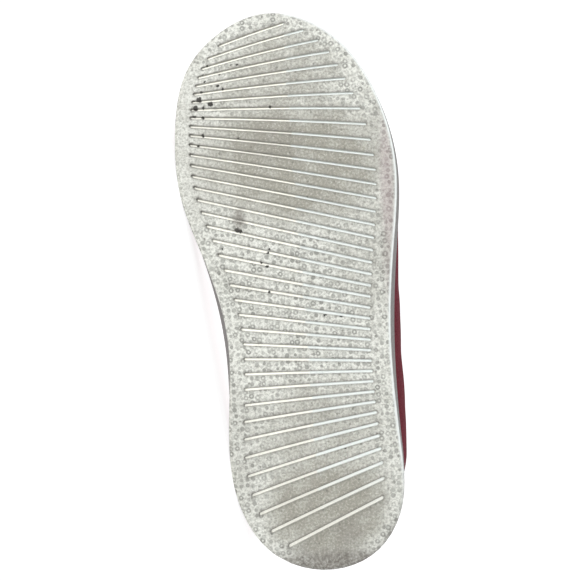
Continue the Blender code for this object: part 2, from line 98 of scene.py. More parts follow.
# %% Sizes of the sole
LENGTH = 270.0
HEEL_WIDTH = 82.0
WAIST_WIDTH = 78.2
BALL_WIDTH = 104.6
HEEL_THICKNESS = 25.0
BALL_THICKNESS = 16.0
TOE_THICKNESS = 13.0
ARCH_RISE = 2.5
TOE_SPRING = 9.0
HEEL_SPRING = 1.5
EDGE_RADIUS = 2.5
LIP_RADIUS = 1.2
SIDEWALL_HOLLOW = 0.5
# Where the heights change, as shares of the length.
HEEL_SPRING_END = 0.06
HEEL_THICK_TO = 0.18
ARCH_START = 0.30
ARCH_END = 0.60
BALL_THICK_AT = 0.72
TOE_SPRING_START = 0.76
print("sole", LENGTH, "mm long and", BALL_WIDTH, "mm across the ball")

# %% The sole's outline, and how far its side leans out
# Each station is a share of the length with the distance from the centre line there.
INNER_EDGE = (
    (0.036, 0.298 * HEEL_WIDTH),
    (0.113, 0.460 * HEEL_WIDTH),
    (0.222, 0.507 * HEEL_WIDTH),
    (0.400, 0.490 * WAIST_WIDTH),
    (0.557, 0.439 * BALL_WIDTH),
    (0.681, 0.530 * BALL_WIDTH),
    (0.796, 0.532 * BALL_WIDTH),
    (0.915, 0.446 * BALL_WIDTH),
    (0.973, 0.292 * BALL_WIDTH),
)
TOE_TIP = 0.094 * BALL_WIDTH
OUTER_EDGE = (
    (0.025, 0.288 * HEEL_WIDTH),
    (0.102, 0.468 * HEEL_WIDTH),
    (0.215, 0.494 * HEEL_WIDTH),
    (0.407, 0.510 * WAIST_WIDTH),
    (0.563, 0.426 * BALL_WIDTH),
    (0.704, 0.464 * BALL_WIDTH),
    (0.822, 0.409 * BALL_WIDTH),
    (0.920, 0.281 * BALL_WIDTH),
    (0.973, 0.134 * BALL_WIDTH),
)
FLARE_INNER = ((0.0, 0.8), (0.18, 0.8), (0.42, 4.0), (0.7, 0.4), (1.0, 0.8))
FLARE_OUTER = ((0.0, 0.8), (0.2, 1.0), (0.42, 2.2), (0.7, 1.4), (1.0, 0.8))
# How much of the lean is reached at each share of the side's height.
SIDEWALL_LEAN = ((0.0, 0.0), (0.45, 0.30), (0.75, 0.75), (1.0, 1.0))
print("stations on each side", len(INNER_EDGE))


# %% Reading a curve through stations
def along(stations, share):
    """Read a smooth curve through (share, value) stations at one share or many."""
    places, values = np.array(stations, float).T
    share = np.clip(share, places[0], places[-1])
    slopes = np.empty_like(values)
    slopes[1:-1] = (values[2:] - values[:-2]) / (places[2:] - places[:-2])
    slopes[0] = (values[1] - values[0]) / (places[1] - places[0])
    slopes[-1] = (values[-1] - values[-2]) / (places[-1] - places[-2])
    left = np.clip(np.searchsorted(places, share, side="right") - 1, 0, len(places) - 2)
    width = places[left + 1] - places[left]
    t = (share - places[left]) / width
    return (
        values[left] * (2 * t**3 - 3 * t**2 + 1)
        + slopes[left] * width * (t**3 - 2 * t**2 + t)
        + values[left + 1] * (3 * t**2 - 2 * t**3)
        + slopes[left + 1] * width * (t**3 - t**2)
    )


def ease(value, low, high):
    """Go smoothly from 0 at low to 1 at high."""
    t = np.clip((np.asarray(value, float) - low) / (high - low), 0.0, 1.0)
    return t * t * (3.0 - 2.0 * t)


print("lean halfway up the side", round(float(along(SIDEWALL_LEAN, 0.5)), 2))


# %% Closed curves
def closed_curve(points, count):
    """Sample the closed cubic spline through the points."""
    points = np.asarray(points, float)
    size = len(points)
    following = np.roll(points, -1, axis=0)
    lengths = np.linalg.norm(following - points, axis=1)
    before = np.roll(lengths, 1)
    system = np.zeros((size, size))
    right = np.zeros_like(points)
    for i in range(size):
        system[i, (i - 1) % size] = lengths[i]
        system[i, i] = 2.0 * (lengths[i] + before[i])
        system[i, (i + 1) % size] = before[i]
        ahead = (following[i] - points[i]) / lengths[i]
        behind = (points[i] - points[i - 1]) / before[i]
        right[i] = 3.0 * (before[i] * ahead + lengths[i] * behind)
    slopes = np.linalg.solve(system, right)
    starts = np.concatenate(([0.0], np.cumsum(lengths)))
    places = np.linspace(0.0, starts[-1], count, endpoint=False)
    i = np.searchsorted(starts, places, side="right") - 1
    j = (i + 1) % size
    t = ((places - starts[i]) / lengths[i])[:, None]
    step = lengths[i][:, None]
    return (
        points[i] * (2 * t**3 - 3 * t**2 + 1)
        + slopes[i] * step * (t**3 - 2 * t**2 + t)
        + points[j] * (3 * t**2 - 2 * t**3)
        + slopes[j] * step * (t**3 - t**2)
    )


def outward(curve):
    """Unit normals that point out of a closed curve that runs anticlockwise."""
    tangent = np.roll(curve, -1, axis=0) - np.roll(curve, 1, axis=0)
    tangent /= np.linalg.norm(tangent, axis=1)[:, None]
    return np.stack([tangent[:, 1], -tangent[:, 0]], axis=1)


square = closed_curve([(-1.0, -1.0), (1.0, -1.0), (1.0, 1.0), (-1.0, 1.0)], 8)
print("a spline through a square's corners is", round(float(np.ptp(square[:, 0])), 2), "wide")

# %% The sole's edge
EDGE_SAMPLES = 1600
edge_points = [(0.0, 0.0)]
edge_points += [(width, share * LENGTH) for share, width in INNER_EDGE]
edge_points.append((TOE_TIP, LENGTH))
edge_points += [(-width, share * LENGTH) for share, width in reversed(OUTER_EDGE)]
edge = closed_curve(edge_points, EDGE_SAMPLES)
edge_out = outward(edge)
edge_share = np.clip(edge[:, 1] / LENGTH, 0.0, 1.0)
flare = np.where(edge[:, 0] > 0.0, along(FLARE_INNER, edge_share), along(FLARE_OUTER, edge_share))
print("edge runs", round(float(np.linalg.norm(np.diff(edge, axis=0), axis=1).sum())), "mm round")


# %% The sole's heights
def toe_lift(y):
    """Rise of the forepart towards the toe."""
    start = TOE_SPRING_START * LENGTH
    return TOE_SPRING * (np.maximum(y - start, 0.0) / (LENGTH - start)) ** 2


def tread_height(y):
    """Height of the tread: flat heel and forepart, raised arch and ends."""
    share = np.asarray(y, float) / LENGTH
    arch_share = np.clip((share - ARCH_START) / (ARCH_END - ARCH_START), 0.0, 1.0)
    arch = ARCH_RISE * np.sin(np.pi * arch_share) ** 2
    back = HEEL_SPRING * (np.maximum(HEEL_SPRING_END - share, 0.0) / HEEL_SPRING_END) ** 2
    return arch + back + toe_lift(y)


def footbed_height(y):
    """Height of the sole's upper face."""
    share = np.asarray(y, float) / LENGTH
    drop = (HEEL_THICKNESS - BALL_THICKNESS) * ease(share, HEEL_THICK_TO, BALL_THICK_AT)
    thin = (BALL_THICKNESS - TOE_THICKNESS) * ease(share, BALL_THICK_AT, 1.0)
    return HEEL_THICKNESS - drop - thin + toe_lift(y)


print("footbed at the heel", round(float(footbed_height(0.0)), 1), "mm up")

# %% [markdown]
# ## The tread's grooves
#
# The mould of such a sole has a fan of fine ribs, which leave grooves about 1.2 mm deep and 6 mm
# apart. They could be cut with Booleans, but the cut edges would be ragged. Here the tread is drawn
# as rows that follow the grooves instead: a few rows make each groove's walls and floor, and a few
# more make the land between two grooves. The fan is a rule, not a list: each groove crosses the
# centre line at its own place, leans by an angle that changes along the sole, and bows a little.

# %% Where each groove runs
GROOVE_DEPTH = 1.2
GROOVE_WIDTH = 1.45
TOE_GROOVE_WIDTH = 1.15
GROOVE_PITCH = 6.0
# Towards the back of the heel, the pitch and the width grow.
HEEL_ZONE = 0.35
HEEL_PITCH_GAIN = 7.0
HEEL_GROOVE_GAIN = 0.53
HEEL_GAIN_POWER = 1.5
# The grooves narrow to the toe's width between these shares of the length.
NARROW_FROM = 0.52
NARROW_TO = 0.72
MARGIN_INNER = 8.2
MARGIN_OUTER = 10.2
MARGIN_TOE = 5.6
TOE_MARGIN_START = 0.86
FIRST_GROOVE_FROM_TOE = 7.0
LAST_GROOVE_FROM_HEEL = 10.0
print("grooves", GROOVE_WIDTH, "mm wide and", GROOVE_DEPTH, "mm deep")

# %% How the grooves fan out
# Each station is a share of the length with the groove's slant in degrees there.
FAN_ANGLE = (
    (0.049, -25.5),
    (0.129, -20.6),
    (0.226, -11.5),
    (0.324, -0.3),
    (0.435, 10.2),
    (0.524, 15.6),
    (0.593, 17.1),
    (0.685, 15.0),
    (0.777, 9.3),
    (0.866, -0.4),
    (0.974, -12.2),
)
# How much a groove bows back at its ends, per metre of half its length squared.
FAN_BOW = ((0.0, 0.10), (0.3, 0.15), (0.6, 0.0), (0.85, 0.45), (1.0, 1.6))


def heel_gain(y):
    """How far the grooves have changed to their size at the heel's back, 0 to 1."""
    zone = HEEL_ZONE * LENGTH
    return (np.maximum(zone - y, 0.0) / zone) ** HEEL_GAIN_POWER


def fan_line(place, x):
    """The line of the fan that crosses the centre line at a place."""
    share = place / LENGTH
    slope = np.tan(np.radians(along(FAN_ANGLE, share)))
    return place + slope * x - along(FAN_BOW, share) * 0.001 * x**2


def fan_slope(place, x):
    """Slope of the same line."""
    share = place / LENGTH
    return np.tan(np.radians(along(FAN_ANGLE, share))) - 2.0 * along(FAN_BOW, share) * 0.001 * x


groove_places = []
place = LENGTH - FIRST_GROOVE_FROM_TOE
while place > LAST_GROOVE_FROM_HEEL:
    groove_places.append(place)
    place -= GROOVE_PITCH + HEEL_PITCH_GAIN * float(heel_gain(place))
groove_places.reverse()
print("grooves", len(groove_places))

# %% The tread's rim, and the field that holds the grooves
toe_share = ease(edge_share, TOE_MARGIN_START, 1.0)
margin = np.where(edge[:, 0] > 0.0, MARGIN_INNER, MARGIN_OUTER)
margin = margin * (1.0 - toe_share) + MARGIN_TOE * toe_share
field = edge - edge_out * margin[:, None]
tread_rim = edge - edge_out * EDGE_RADIUS

# The place of the fan line through each point of the rim, found by closing in on it.
FAN_SEARCH_STEPS = 40
rim_place = tread_rim[:, 1].copy()
for _ in range(FAN_SEARCH_STEPS):
    rim_place += tread_rim[:, 1] - fan_line(rim_place, tread_rim[:, 0])
first = int(np.argmin(rim_place))
last = int(np.argmax(rim_place))
print("fan runs from", round(float(rim_place[first])), "to", round(float(rim_place[last])), "mm")


# %% Lines beside a groove
def groove_half(place):
    """Half the width of one groove."""
    width = GROOVE_WIDTH + HEEL_GROOVE_GAIN * float(heel_gain(place))
    narrowed = float(ease(place / LENGTH, NARROW_FROM, NARROW_TO))
    width -= (GROOVE_WIDTH - TOE_GROOVE_WIDTH) * narrowed
    return width / 2.0


def offset_line(place, offset):
    """A function for the line that runs beside a fan line at an even distance."""
    return lambda x: fan_line(place, x) + offset * np.sqrt(1.0 + fan_slope(place, x) ** 2)


def between(low, high, t):
    """A function for the line part of the way from one line to another."""
    return lambda x: low(x) * (1.0 - t) + high(x) * t


print("widest groove", round(2.0 * groove_half(groove_places[0]), 2), "mm")

# %% Rows of the tread, from the heel to the toe
# Rows beside each edge of a groove, as distances out from that edge.
WALL_ROWS = (0.35, 0.04, -0.12, -0.34)
LAND_ROW_STEP = 0.95
LEAST_LAND_ROWS = 4
END_ROWS = 8
END_LAND = 1.0


def end_rows(end, groove_place, side):
    """Rows between one end of the tread and its nearest groove, closer together at the end."""
    start = groove_place + side * (groove_half(groove_place) + END_LAND)
    shares = np.linspace(0.0, 1.0, END_ROWS + 1)[1:-1]
    return [(offset_line(end + (start - end) * t**2, 0.0), None, 0.0) for t in shares]


rows = end_rows(float(rim_place[first]), groove_places[0], -1.0)
for n, place in enumerate(groove_places):
    half = groove_half(place)
    offsets = [-half - out for out in WALL_ROWS]
    offsets += [0.0]
    offsets += [half + out for out in reversed(WALL_ROWS)]
    rows += [(offset_line(place, offset), n, offset) for offset in offsets]
    if n + 1 < len(groove_places):
        following = groove_places[n + 1]
        low = offset_line(place, half + WALL_ROWS[0])
        high = offset_line(following, -groove_half(following) - WALL_ROWS[0])
        steps = max(LEAST_LAND_ROWS, round((following - place - 2.0 * half) / LAND_ROW_STEP))
        rows += [(between(low, high, k / steps), None, 0.0) for k in range(1, steps)]
rows += reversed(end_rows(float(rim_place[last]), groove_places[-1], 1.0))
print("rows", len(rows))


# %% Where the rows meet the rim and the grooved field
def sides(curve, low, high):
    """Indices of a closed curve's two sides, from a low point to a high point."""
    count = len(curve)
    inner = np.arange(low, low + (high - low) % count + 1)
    outer = np.arange(low, low - (low - high) % count - 1, -1)
    return inner, outer


def crossing(curve, side, line):
    """Fractional index at which one side of a closed curve crosses a line, or None."""
    points = curve[side % len(curve)]
    above = points[:, 1] - line(points[:, 0])
    hits = np.nonzero((above[:-1] <= 0.0) & (above[1:] > 0.0))[0]
    if len(hits) == 0:
        return None
    i = int(hits[-1])
    t = above[i] / (above[i] - above[i + 1])
    return float(side[i] + (side[i + 1] - side[i]) * t)


def at(curve, index):
    """Points of a closed curve at fractional indices."""
    index = np.asarray(index, float)
    low = np.floor(index).astype(int)
    t = index - low
    if curve.ndim > 1:
        t = t[..., None]
    return curve[low % len(curve)] * (1.0 - t) + curve[(low + 1) % len(curve)] * t


rim_inner, rim_outer = sides(tread_rim, first, last)
field_sides = sides(field, int(np.argmin(field[:, 1])), int(np.argmax(field[:, 1])))
row_ends = []
for line, groove, offset in rows:
    ends = [crossing(tread_rim, rim_inner, line), crossing(tread_rim, rim_outer, line)]
    held = [crossing(field, side, line) for side in field_sides]
    row_ends.append((ends, held))
missing = [i for i, (ends, held) in enumerate(row_ends) if None in ends]
print("rows that miss the rim", missing)

# %% Depth, shade and dirt beside a groove
WALL_RUN = 0.30
SHADE_ENDS = 1.2
HEEL_SIDE_SHADE = 0.6
HOOK_ENDS = 0.7
HEEL_SIDE_HOOK = 0.4


def beside_groove(xs, half, offset, inner_end, outer_end):
    """How deep, how shaded and how dirty a row is, whose distance from a groove is even."""
    beyond = np.maximum(xs - inner_end, 0.0) + np.maximum(outer_end - xs, 0.0)
    away = np.hypot(beyond, offset)
    depth = 1.0 - ease(away, half - WALL_RUN, half + 0.02)
    # The shade lies on the wall and fades on the land. It is stronger on the toe side.
    shade = ease(away, half - WALL_RUN - 0.02, half)
    shade = shade * (1.0 - 0.5 * ease(away, half + 0.1, half + 0.4))
    shade = shade * (1.0 - ease(away, half + 0.5, half + SHADE_ENDS))
    shade = shade * (1.0 if offset > 0.0 else HEEL_SIDE_SHADE)
    # Dirt hooks round the inner end, more on the toe side.
    hook = ease(away, half - WALL_RUN, half) * (1.0 - ease(away, half + 0.2, half + HOOK_ENDS))
    hook = hook * ease(xs, inner_end - 2.0, inner_end - 0.2)
    hook = hook * (1.0 if offset > -0.2 else HEEL_SIDE_HOOK)
    return depth, shade, hook


middle_half = groove_half(LENGTH / 2.0)
sample = beside_groove(np.zeros(1), middle_half, 0.0, 30.0, -30.0)
print("in a groove's middle: depth, shade and dirt", [float(v[0]) for v in sample])

# %% The places across each row
# Places out from a groove's end, along the groove: close together where the end is rounded.
END_STEPS = (-0.7, -0.25, 0.05, 0.3, 0.5, 0.65, 0.8, 1.0, 1.4)
MIDDLE_STEPS = 66
RIM_STEPS = 4
SHORTEST_FIELD = 6.0
LEAST_MARGIN = 1.6


def across_row(x_in, x_out, inner_end, outer_end):
    """Places across a row, gathered round the ends of the grooved field where it has one."""
    if (
        inner_end is None
        or inner_end - outer_end < SHORTEST_FIELD
        or x_in < inner_end + LEAST_MARGIN
        or x_out > outer_end - LEAST_MARGIN
    ):
        return np.linspace(x_in, x_out, 2 * (RIM_STEPS + len(END_STEPS)) + MIDDLE_STEPS - 1)
    inner_steps = [inner_end + step for step in reversed(END_STEPS)]
    outer_steps = [outer_end - step for step in END_STEPS]
    return np.concatenate([
        np.linspace(x_in, inner_steps[0], RIM_STEPS, endpoint=False),
        inner_steps,
        np.linspace(inner_steps[-1], outer_steps[0], MIDDLE_STEPS + 1)[1:-1],
        outer_steps,
        np.linspace(x_out, outer_steps[-1], RIM_STEPS, endpoint=False)[::-1],
    ])


print("points across a row", len(across_row(40.0, -40.0, 30.0, -30.0)))

# %% The points of each row
centre_ends = {}
for (line, groove, offset), (ends, held) in zip(rows, row_ends):
    if groove is not None and offset == 0.0:
        centre_ends[groove] = [float(at(field, h)[0]) for h in held]
tread = []
row_values = []
for (line, groove, offset), (ends, held) in zip(rows, row_ends):
    x_in, x_out = (float(at(tread_rim, e)[0]) for e in ends)
    if groove is not None:
        field_ends = centre_ends[groove]
    elif None not in held:
        field_ends = [float(at(field, h)[0]) for h in held]
    else:
        field_ends = (None, None)
    xs = across_row(x_in, x_out, *field_ends)
    ys = line(xs)
    ys[0] = at(tread_rim, ends[0])[1]
    ys[-1] = at(tread_rim, ends[1])[1]
    tread.append(np.stack([xs, ys], axis=1))
    values = np.zeros((3, len(xs)))
    if groove is not None:
        values = beside_groove(xs, groove_half(groove_places[groove]), offset, *field_ends)
    row_values.append(values)
tread = np.array(tread)
depths, shades, hooks = np.array(row_values).transpose(1, 0, 2)
print("tread grid", tread.shape)

# %% [markdown]
# ## From rows to one solid
#
# The rows give the tread. Their ends give rings round the sole: the rounded edge, the slightly
# hollow side that leans out above it, and the lip that the upper stands behind. All of these share
# their points, so the sole is one closed skin with no seams, as it comes out of its mould.


# %% A helper that joins grids of points into a mesh
def quads(low, high, closed=False):
    """Faces between two rows of vertex numbers, without the corners that coincide."""
    count = len(low) if closed else len(low) - 1
    faces = []
    for i in range(count):
        j = (i + 1) % len(low)
        corners = list(dict.fromkeys((low[i], low[j], high[j], high[i])))
        if len(corners) > 2:
            faces.append(corners)
    return faces


def new_piece(name, points, faces, smooth_under=40.0):
    """Lay the points down and make a mesh object with a smooth skin."""
    data = bpy.data.meshes.new(name)
    data.from_pydata(lay_down(points).tolist(), [], faces)
    data.validate()
    data.shade_smooth()
    data.set_sharp_from_angle(angle=math.radians(smooth_under))
    item = bpy.data.objects.new(name, data)
    bpy.context.scene.collection.objects.link(item)
    triangles = sum(len(f.vertices) - 2 for f in data.polygons)
    print(name, len(points), "points", triangles, "triangles")
    return item


def keep_values(item, name, values):
    """Keep one number, or one vector, for each vertex, for the material to read."""
    values = np.asarray(values, np.float32)
    kind = "FLOAT_VECTOR" if values.ndim > 1 else "FLOAT"
    attribute = item.data.attributes.new(name, kind, "POINT")
    attribute.data.foreach_set("vector" if values.ndim > 1 else "value", values.ravel())


print("a band of four points closes with", len(quads([0, 1, 2, 3], [4, 5, 6, 7], True)), "faces")

# %% The rings round the sole
ring_index = [first]
ring_index += [ends[0] for ends, held in row_ends]
ring_index += [last]
ring_index += [ends[1] for ends, held in reversed(row_ends)]
ring_index = np.array(ring_index, float)
rim_points = at(edge, ring_index)
rim_out = at(edge_out, ring_index)
rim_flare = at(flare, ring_index)


def ring(offset, height):
    """One ring beside the sole's edge, with a height that follows the length."""
    plan = rim_points + rim_out * np.asarray(offset)[..., None]
    return np.column_stack([plan, height(plan[:, 1])])


EDGE_RINGS = 7
SIDE_RINGS = 7
LIP_RINGS = 5
rings = []
for degrees in np.linspace(0.0, 90.0, EDGE_RINGS):
    turn = math.radians(degrees)
    inset = -EDGE_RADIUS * (1.0 - math.sin(turn)) * np.ones(len(rim_points))
    lift = EDGE_RADIUS * (1.0 - math.cos(turn))
    rings.append(ring(inset, lambda y, lift=lift: tread_height(y) + lift))
for share in np.linspace(0.0, 1.0, SIDE_RINGS + 2)[1:-1]:
    lean = float(along(SIDEWALL_LEAN, share))
    hollow = SIDEWALL_HOLLOW * math.sin(math.pi * share)
    rings.append(ring(
        rim_flare * lean - hollow,
        lambda y, share=share: (tread_height(y) + EDGE_RADIUS) * (1.0 - share)
        + (footbed_height(y) - LIP_RADIUS) * share,
    ))
for degrees in np.linspace(0.0, 90.0, LIP_RINGS):
    turn = math.radians(degrees)
    drop = LIP_RADIUS * (1.0 - math.sin(turn))
    rings.append(ring(
        rim_flare - LIP_RADIUS * (1.0 - math.cos(turn)),
        lambda y, drop=drop: footbed_height(y) - drop,
    ))
print("rings", len(rings), "of", len(rim_points), "points")

# %% Faces of the tread, and up the sides
row_count, column_count = tread.shape[:2]
heights = tread_height(tread[..., 1]) + GROOVE_DEPTH * depths
heel_pole = np.append(at(tread_rim, first), tread_height(at(tread_rim, first)[1]))
toe_pole = np.append(at(tread_rim, last), tread_height(at(tread_rim, last)[1]))
sole_points = [np.concatenate([tread, heights[..., None]], axis=2).reshape(-1, 3)]
sole_points.append(np.array([heel_pole, toe_pole]))
grid = np.arange(row_count * column_count).reshape(row_count, column_count)
heel_row = np.full(column_count, grid.size)
toe_row = np.full(column_count, grid.size + 1)
sole_faces = []
all_rows = [heel_row, *grid, toe_row]
for low, high in zip(all_rows, all_rows[1:]):
    sole_faces += quads(low, high)
below = np.concatenate([[grid.size], grid[:, 0], [grid.size + 1], grid[::-1, -1]])
made = grid.size + 2
for points in rings[1:]:
    sole_points.append(points)
    above = np.arange(made, made + len(points))
    sole_faces += quads(below, above, closed=True)
    made += len(points)
    below = above
print("tread and sides", len(sole_faces), "faces")

# %% Close the top
# The top is closed by strips from one side to the other, one for each row of the tread.
half_count = row_count + 2
inner_top = below[:half_count]
outer_top = np.concatenate([[below[0]], below[half_count:][::-1], [below[half_count - 1]]])
lip = rings[-1]
lip_inner = lip[:half_count]
lip_outer = np.concatenate([[lip[0]], lip[half_count:][::-1], [lip[half_count - 1]]])
TOP_STEPS = 8
top = [inner_top]
for k in range(1, TOP_STEPS):
    t = k / TOP_STEPS
    points = lip_inner * (1.0 - t) + lip_outer * t
    points[:, 2] = footbed_height(points[:, 1])
    line = np.arange(made, made + half_count)
    made += half_count
    line[0] = inner_top[0]
    line[-1] = inner_top[-1]
    sole_points.append(points)
    top.append(line)
top.append(outer_top)
for low, high in zip(top, top[1:]):
    sole_faces += quads(low, high)
sole_points = np.concatenate(sole_points)
sole = new_piece("sole_moulded", sole_points, sole_faces)

# %% [markdown]
# ## Where the sole is worn, textured and dirty, and where light and shade are painted on it
#
# The mould's fine texture is a field of small round dimples. Walking rubs it away under the ball
# and the heel, and leaves it in the arch and along the edges. The grooves stay clean and pale. Dirt
# gathers at the ends of the grooves on the inner side of the ball, and behind the heel, where painted
# shade also darkens the edge that turns away from the light. Each of these is a soft patch with a
# place and a size in the shoe's own millimetres.


# %% A soft patch
def patch(points, x, y, half_width, half_length, turn=0.0):
    """A soft patch: 1 at its middle, fading to 0 a little beyond its half sizes."""
    c = math.cos(math.radians(turn))
    s = math.sin(math.radians(turn))
    a = (points[:, 0] - x) * c + (points[:, 1] - y) * s
    b = (points[:, 1] - y) * c - (points[:, 0] - x) * s
    away = np.hypot(a / half_width, b / half_length)
    return 1.0 - ease(away, 0.45, 1.25)


def most(points, patches):
    """The strongest of several patches, each with its own strength."""
    total = np.zeros(len(points))
    for strength, *place in patches:
        total = np.maximum(total, strength * patch(points, *place))
    return total


print("half way out, a patch has", round(float(patch(np.array([[0.5, 0.0]]), 0, 0, 1, 1)[0]), 2))


# %% How near each point is to the edge, and to the tread
def distance_to(curve, points):
    """Distance in plan from each point to a curve."""
    nearest = np.full(len(points), 1e9)
    for x, y in curve[::5]:
        away = (points[:, 0] - x) ** 2 + (points[:, 1] - y) ** 2
        nearest = np.minimum(nearest, away)
    return np.sqrt(nearest)


from_edge = distance_to(edge, sole_points)
above_tread = sole_points[:, 2] - tread_height(sole_points[:, 1])
on_tread = 1.0 - ease(above_tread, 0.55 * EDGE_RADIUS, 1.05 * EDGE_RADIUS)
print("farthest from the edge", round(float(from_edge.max())), "mm")

# %% Where the tread is worn and dirty, with painted shade and a painted reflection
# Each patch: its strength, its place, its half width and half length in mm, its turn in degrees.
WORN = (
    (1.0, -1.0, 196.0, 48.0, 34.0, 8.0),
    (0.62, 6.0, 238.0, 36.0, 26.0, 0.0),
    (0.95, -4.0, 30.0, 36.0, 30.0, -8.0),
    (0.55, -2.0, 66.0, 32.0, 30.0, -8.0),
    (0.35, -30.0, 150.0, 14.0, 36.0, 0.0),
)
# Dirt patches. Near the back of the heel they are partly painted shade, where the rounded edge turns
# away from the light.
DIRT_AND_SHADE = (
    (0.80, 27.7, 170.3, 3.2, 5.6, 5.0),
    (0.50, -12.7, 16.4, 7.0, 5.0, -20.0),
    (0.75, -36.0, 12.0, 8.0, 16.0, 30.0),
    (1.00, -4.0, 0.0, 46.0, 12.0, 0.0),
    (0.25, -46.0, 215.0, 8.0, 40.0, 10.0),
    (0.22, 10.0, 205.0, 18.0, 10.0, 0.0),
    (0.40, -45.0, 165.0, 6.5, 50.0, 4.0),
    (0.16, 47.0, 205.0, 10.0, 44.0, 0.0),
    (0.20, 36.0, 60.0, 7.0, 40.0, 0.0),
)
# A painted reflection: a pink tint on the outer edge of the tread, standing for light bounced off the
# red felt.
PAINTED_FELT_REFLECTION = (
    (0.80, -43.5, 180.0, 3.4, 34.0, 2.0),
    (0.35, -41.5, 140.0, 3.0, 20.0, 0.0),
)
print("patches", len(WORN), "worn,", len(DIRT_AND_SHADE), "smudged,", len(PAINTED_FELT_REFLECTION), "painted_reflection")

# %% Where the dimples are left, and where the outer edge gets a painted highlight
RUBBED_EDGE = (47.0, 207.0, 10.0, 44.0, 0.0)
worn = most(sole_points, WORN) * ease(from_edge, 2.0, 11.0)
dimpled = np.maximum(1.0 - 0.95 * worn, 0.15)
dimpled = np.maximum(dimpled, 0.75 - 0.75 * ease(from_edge, 5.0, 11.0))
# Along the inner side of the ball the edge is rubbed quite smooth.
dimpled = dimpled * (1.0 - 0.85 * patch(sole_points, *RUBBED_EDGE))
# A painted highlight: the rounded edge on the outer side is made pale, where light catches it.
painted_edge_highlight = ease(above_tread, 0.05 * EDGE_RADIUS, 0.3 * EDGE_RADIUS)
painted_edge_highlight = painted_edge_highlight * (1.0 - ease(above_tread, 0.55 * EDGE_RADIUS, 0.85 * EDGE_RADIUS))
painted_edge_highlight = painted_edge_highlight * (sole_points[:, 0] < 0.0) * ease(sole_points[:, 1], 20.0, 60.0)
print("worn share of the tread", round(float(worn[: grid.size].mean()), 2))

# %% Dirt in lumps
# Each lump has a place and a radius. Most lie by the inner ends of the forepart's grooves.
LUMPS = (
    (42.5, 229.2, 1.5), (44.4, 225.2, 1.5), (40.8, 225.1, 0.9), (37.1, 226.5, 1.5),
    (45.4, 221.2, 0.9), (41.4, 220.2, 0.9), (41.7, 211.7, 1.0), (44.3, 206.9, 0.8),
    (41.1, 232.8, 0.8), (39.3, 237.6, 0.7), (37.7, 245.6, 0.7), (40.0, 241.2, 0.7),
    (31.9, 240.5, 0.8), (33.1, 235.0, 0.9), (30.6, 233.3, 0.8), (25.8, 244.8, 0.7),
    (23.1, 244.6, 0.7), (8.6, 222.5, 0.8), (24.8, 209.0, 0.8), (20.7, 213.6, 0.7),
    (29.1, 165.3, 1.4), (27.4, 164.6, 1.1), (14.5, 155.0, 0.8), (15.4, 153.3, 0.8),
    (18.8, 148.9, 0.8), (16.3, 146.8, 0.9), (16.4, 134.6, 0.8), (36.7, 156.8, 0.6),
    (22.6, 137.8, 0.6), (-17.0, 120.4, 0.7), (-9.4, 121.6, 0.8), (-24.0, 196.0, 0.5),
    (-6.0, 178.0, 0.5), (10.0, 92.0, 0.5), (-14.0, 58.0, 0.6),
)
lump = np.zeros(len(sole_points))
for x, y, radius in LUMPS:
    away = np.hypot(sole_points[:, 0] - x, sole_points[:, 1] - y)
    lump = np.maximum(lump, 1.0 - ease(away, 0.1 * radius, 1.7 * radius))
print("lumps of dirt", len(LUMPS))

# %% Keep what the foam's material reads
def on_grid(values):
    """Values of the tread's grid, followed by zeros for the rest of the sole."""
    return np.concatenate([values.ravel(), np.zeros(len(sole_points) - values.size)])


keep_values(sole, "shoe_mm", sole_points)
# Under the heel the grooves are less clean.
heel_dust = 1.0 - ease(tread[..., 1], 30.0, 95.0)
keep_values(sole, "groove", on_grid(depths * (1.0 - 0.3 * heel_dust)))
keep_values(sole, "groove_shade", on_grid(shades))
# The hooks of dirt are darkest beside the ball.
hook_zone = ease(tread[..., 1], 160.0, 190.0) * (1.0 - ease(tread[..., 1], 225.0, 250.0))
keep_values(sole, "hook", on_grid(hooks * (0.3 + 0.7 * hook_zone)))
keep_values(sole, "worn", worn * on_tread)
keep_values(sole, "dimpled", dimpled)
keep_values(sole, "painted_edge_highlight", painted_edge_highlight)
keep_values(sole, "lump", lump * on_tread)
keep_values(sole, "dirt_and_shade", most(sole_points, DIRT_AND_SHADE))
keep_values(sole, "painted_felt_reflection", most(sole_points, PAINTED_FELT_REFLECTION) * on_tread)
keep_values(sole, "on_tread", on_tread)
print("foam reads", [a.name for a in sole.data.attributes if a.domain == "POINT"])

# %% [markdown]
# ## Moulded EVA foam
#
# The sole is EVA foam, moulded in one piece. EVA is matt, a little waxy, with an IOR near 1.49 and
# a roughness of about 0.6. The eye sees an off-white skin, greyer where it has rubbed on the
# ground, small round dimples from the mould, and cleaner grooves. The dimples are 3 mm apart and
# too shallow to be worth points in the mesh, so they are bump and a little shade.
#
# A material is a tree of nodes. One small function adds a node, whatever its kind: it takes the
# settings, and the sockets with either a value or another node's output to link.

# %% Colours, and a helper that adds a node


def colour(code):
    """Turn an sRGB hex colour into the linear values that a shader works in."""
    parts = [int(code[i : i + 2], 16) / 255.0 for i in (1, 3, 5)]
    linear = [p / 12.92 if p <= 0.04045 else ((p + 0.055) / 1.055) ** 2.4 for p in parts]
    return (*linear, 1.0)


def add(tree, kind, sockets=None, **settings):
    """Add a shader node, give it its settings, and set or link its sockets."""
    node = tree.nodes.new("ShaderNode" + kind)
    for name, value in settings.items():
        setattr(node, name, value)
    for name, value in (sockets or {}).items():
        if isinstance(value, bpy.types.NodeSocket):
            tree.links.new(value, node.inputs[name])
        else:
            node.inputs[name].default_value = value
    return node


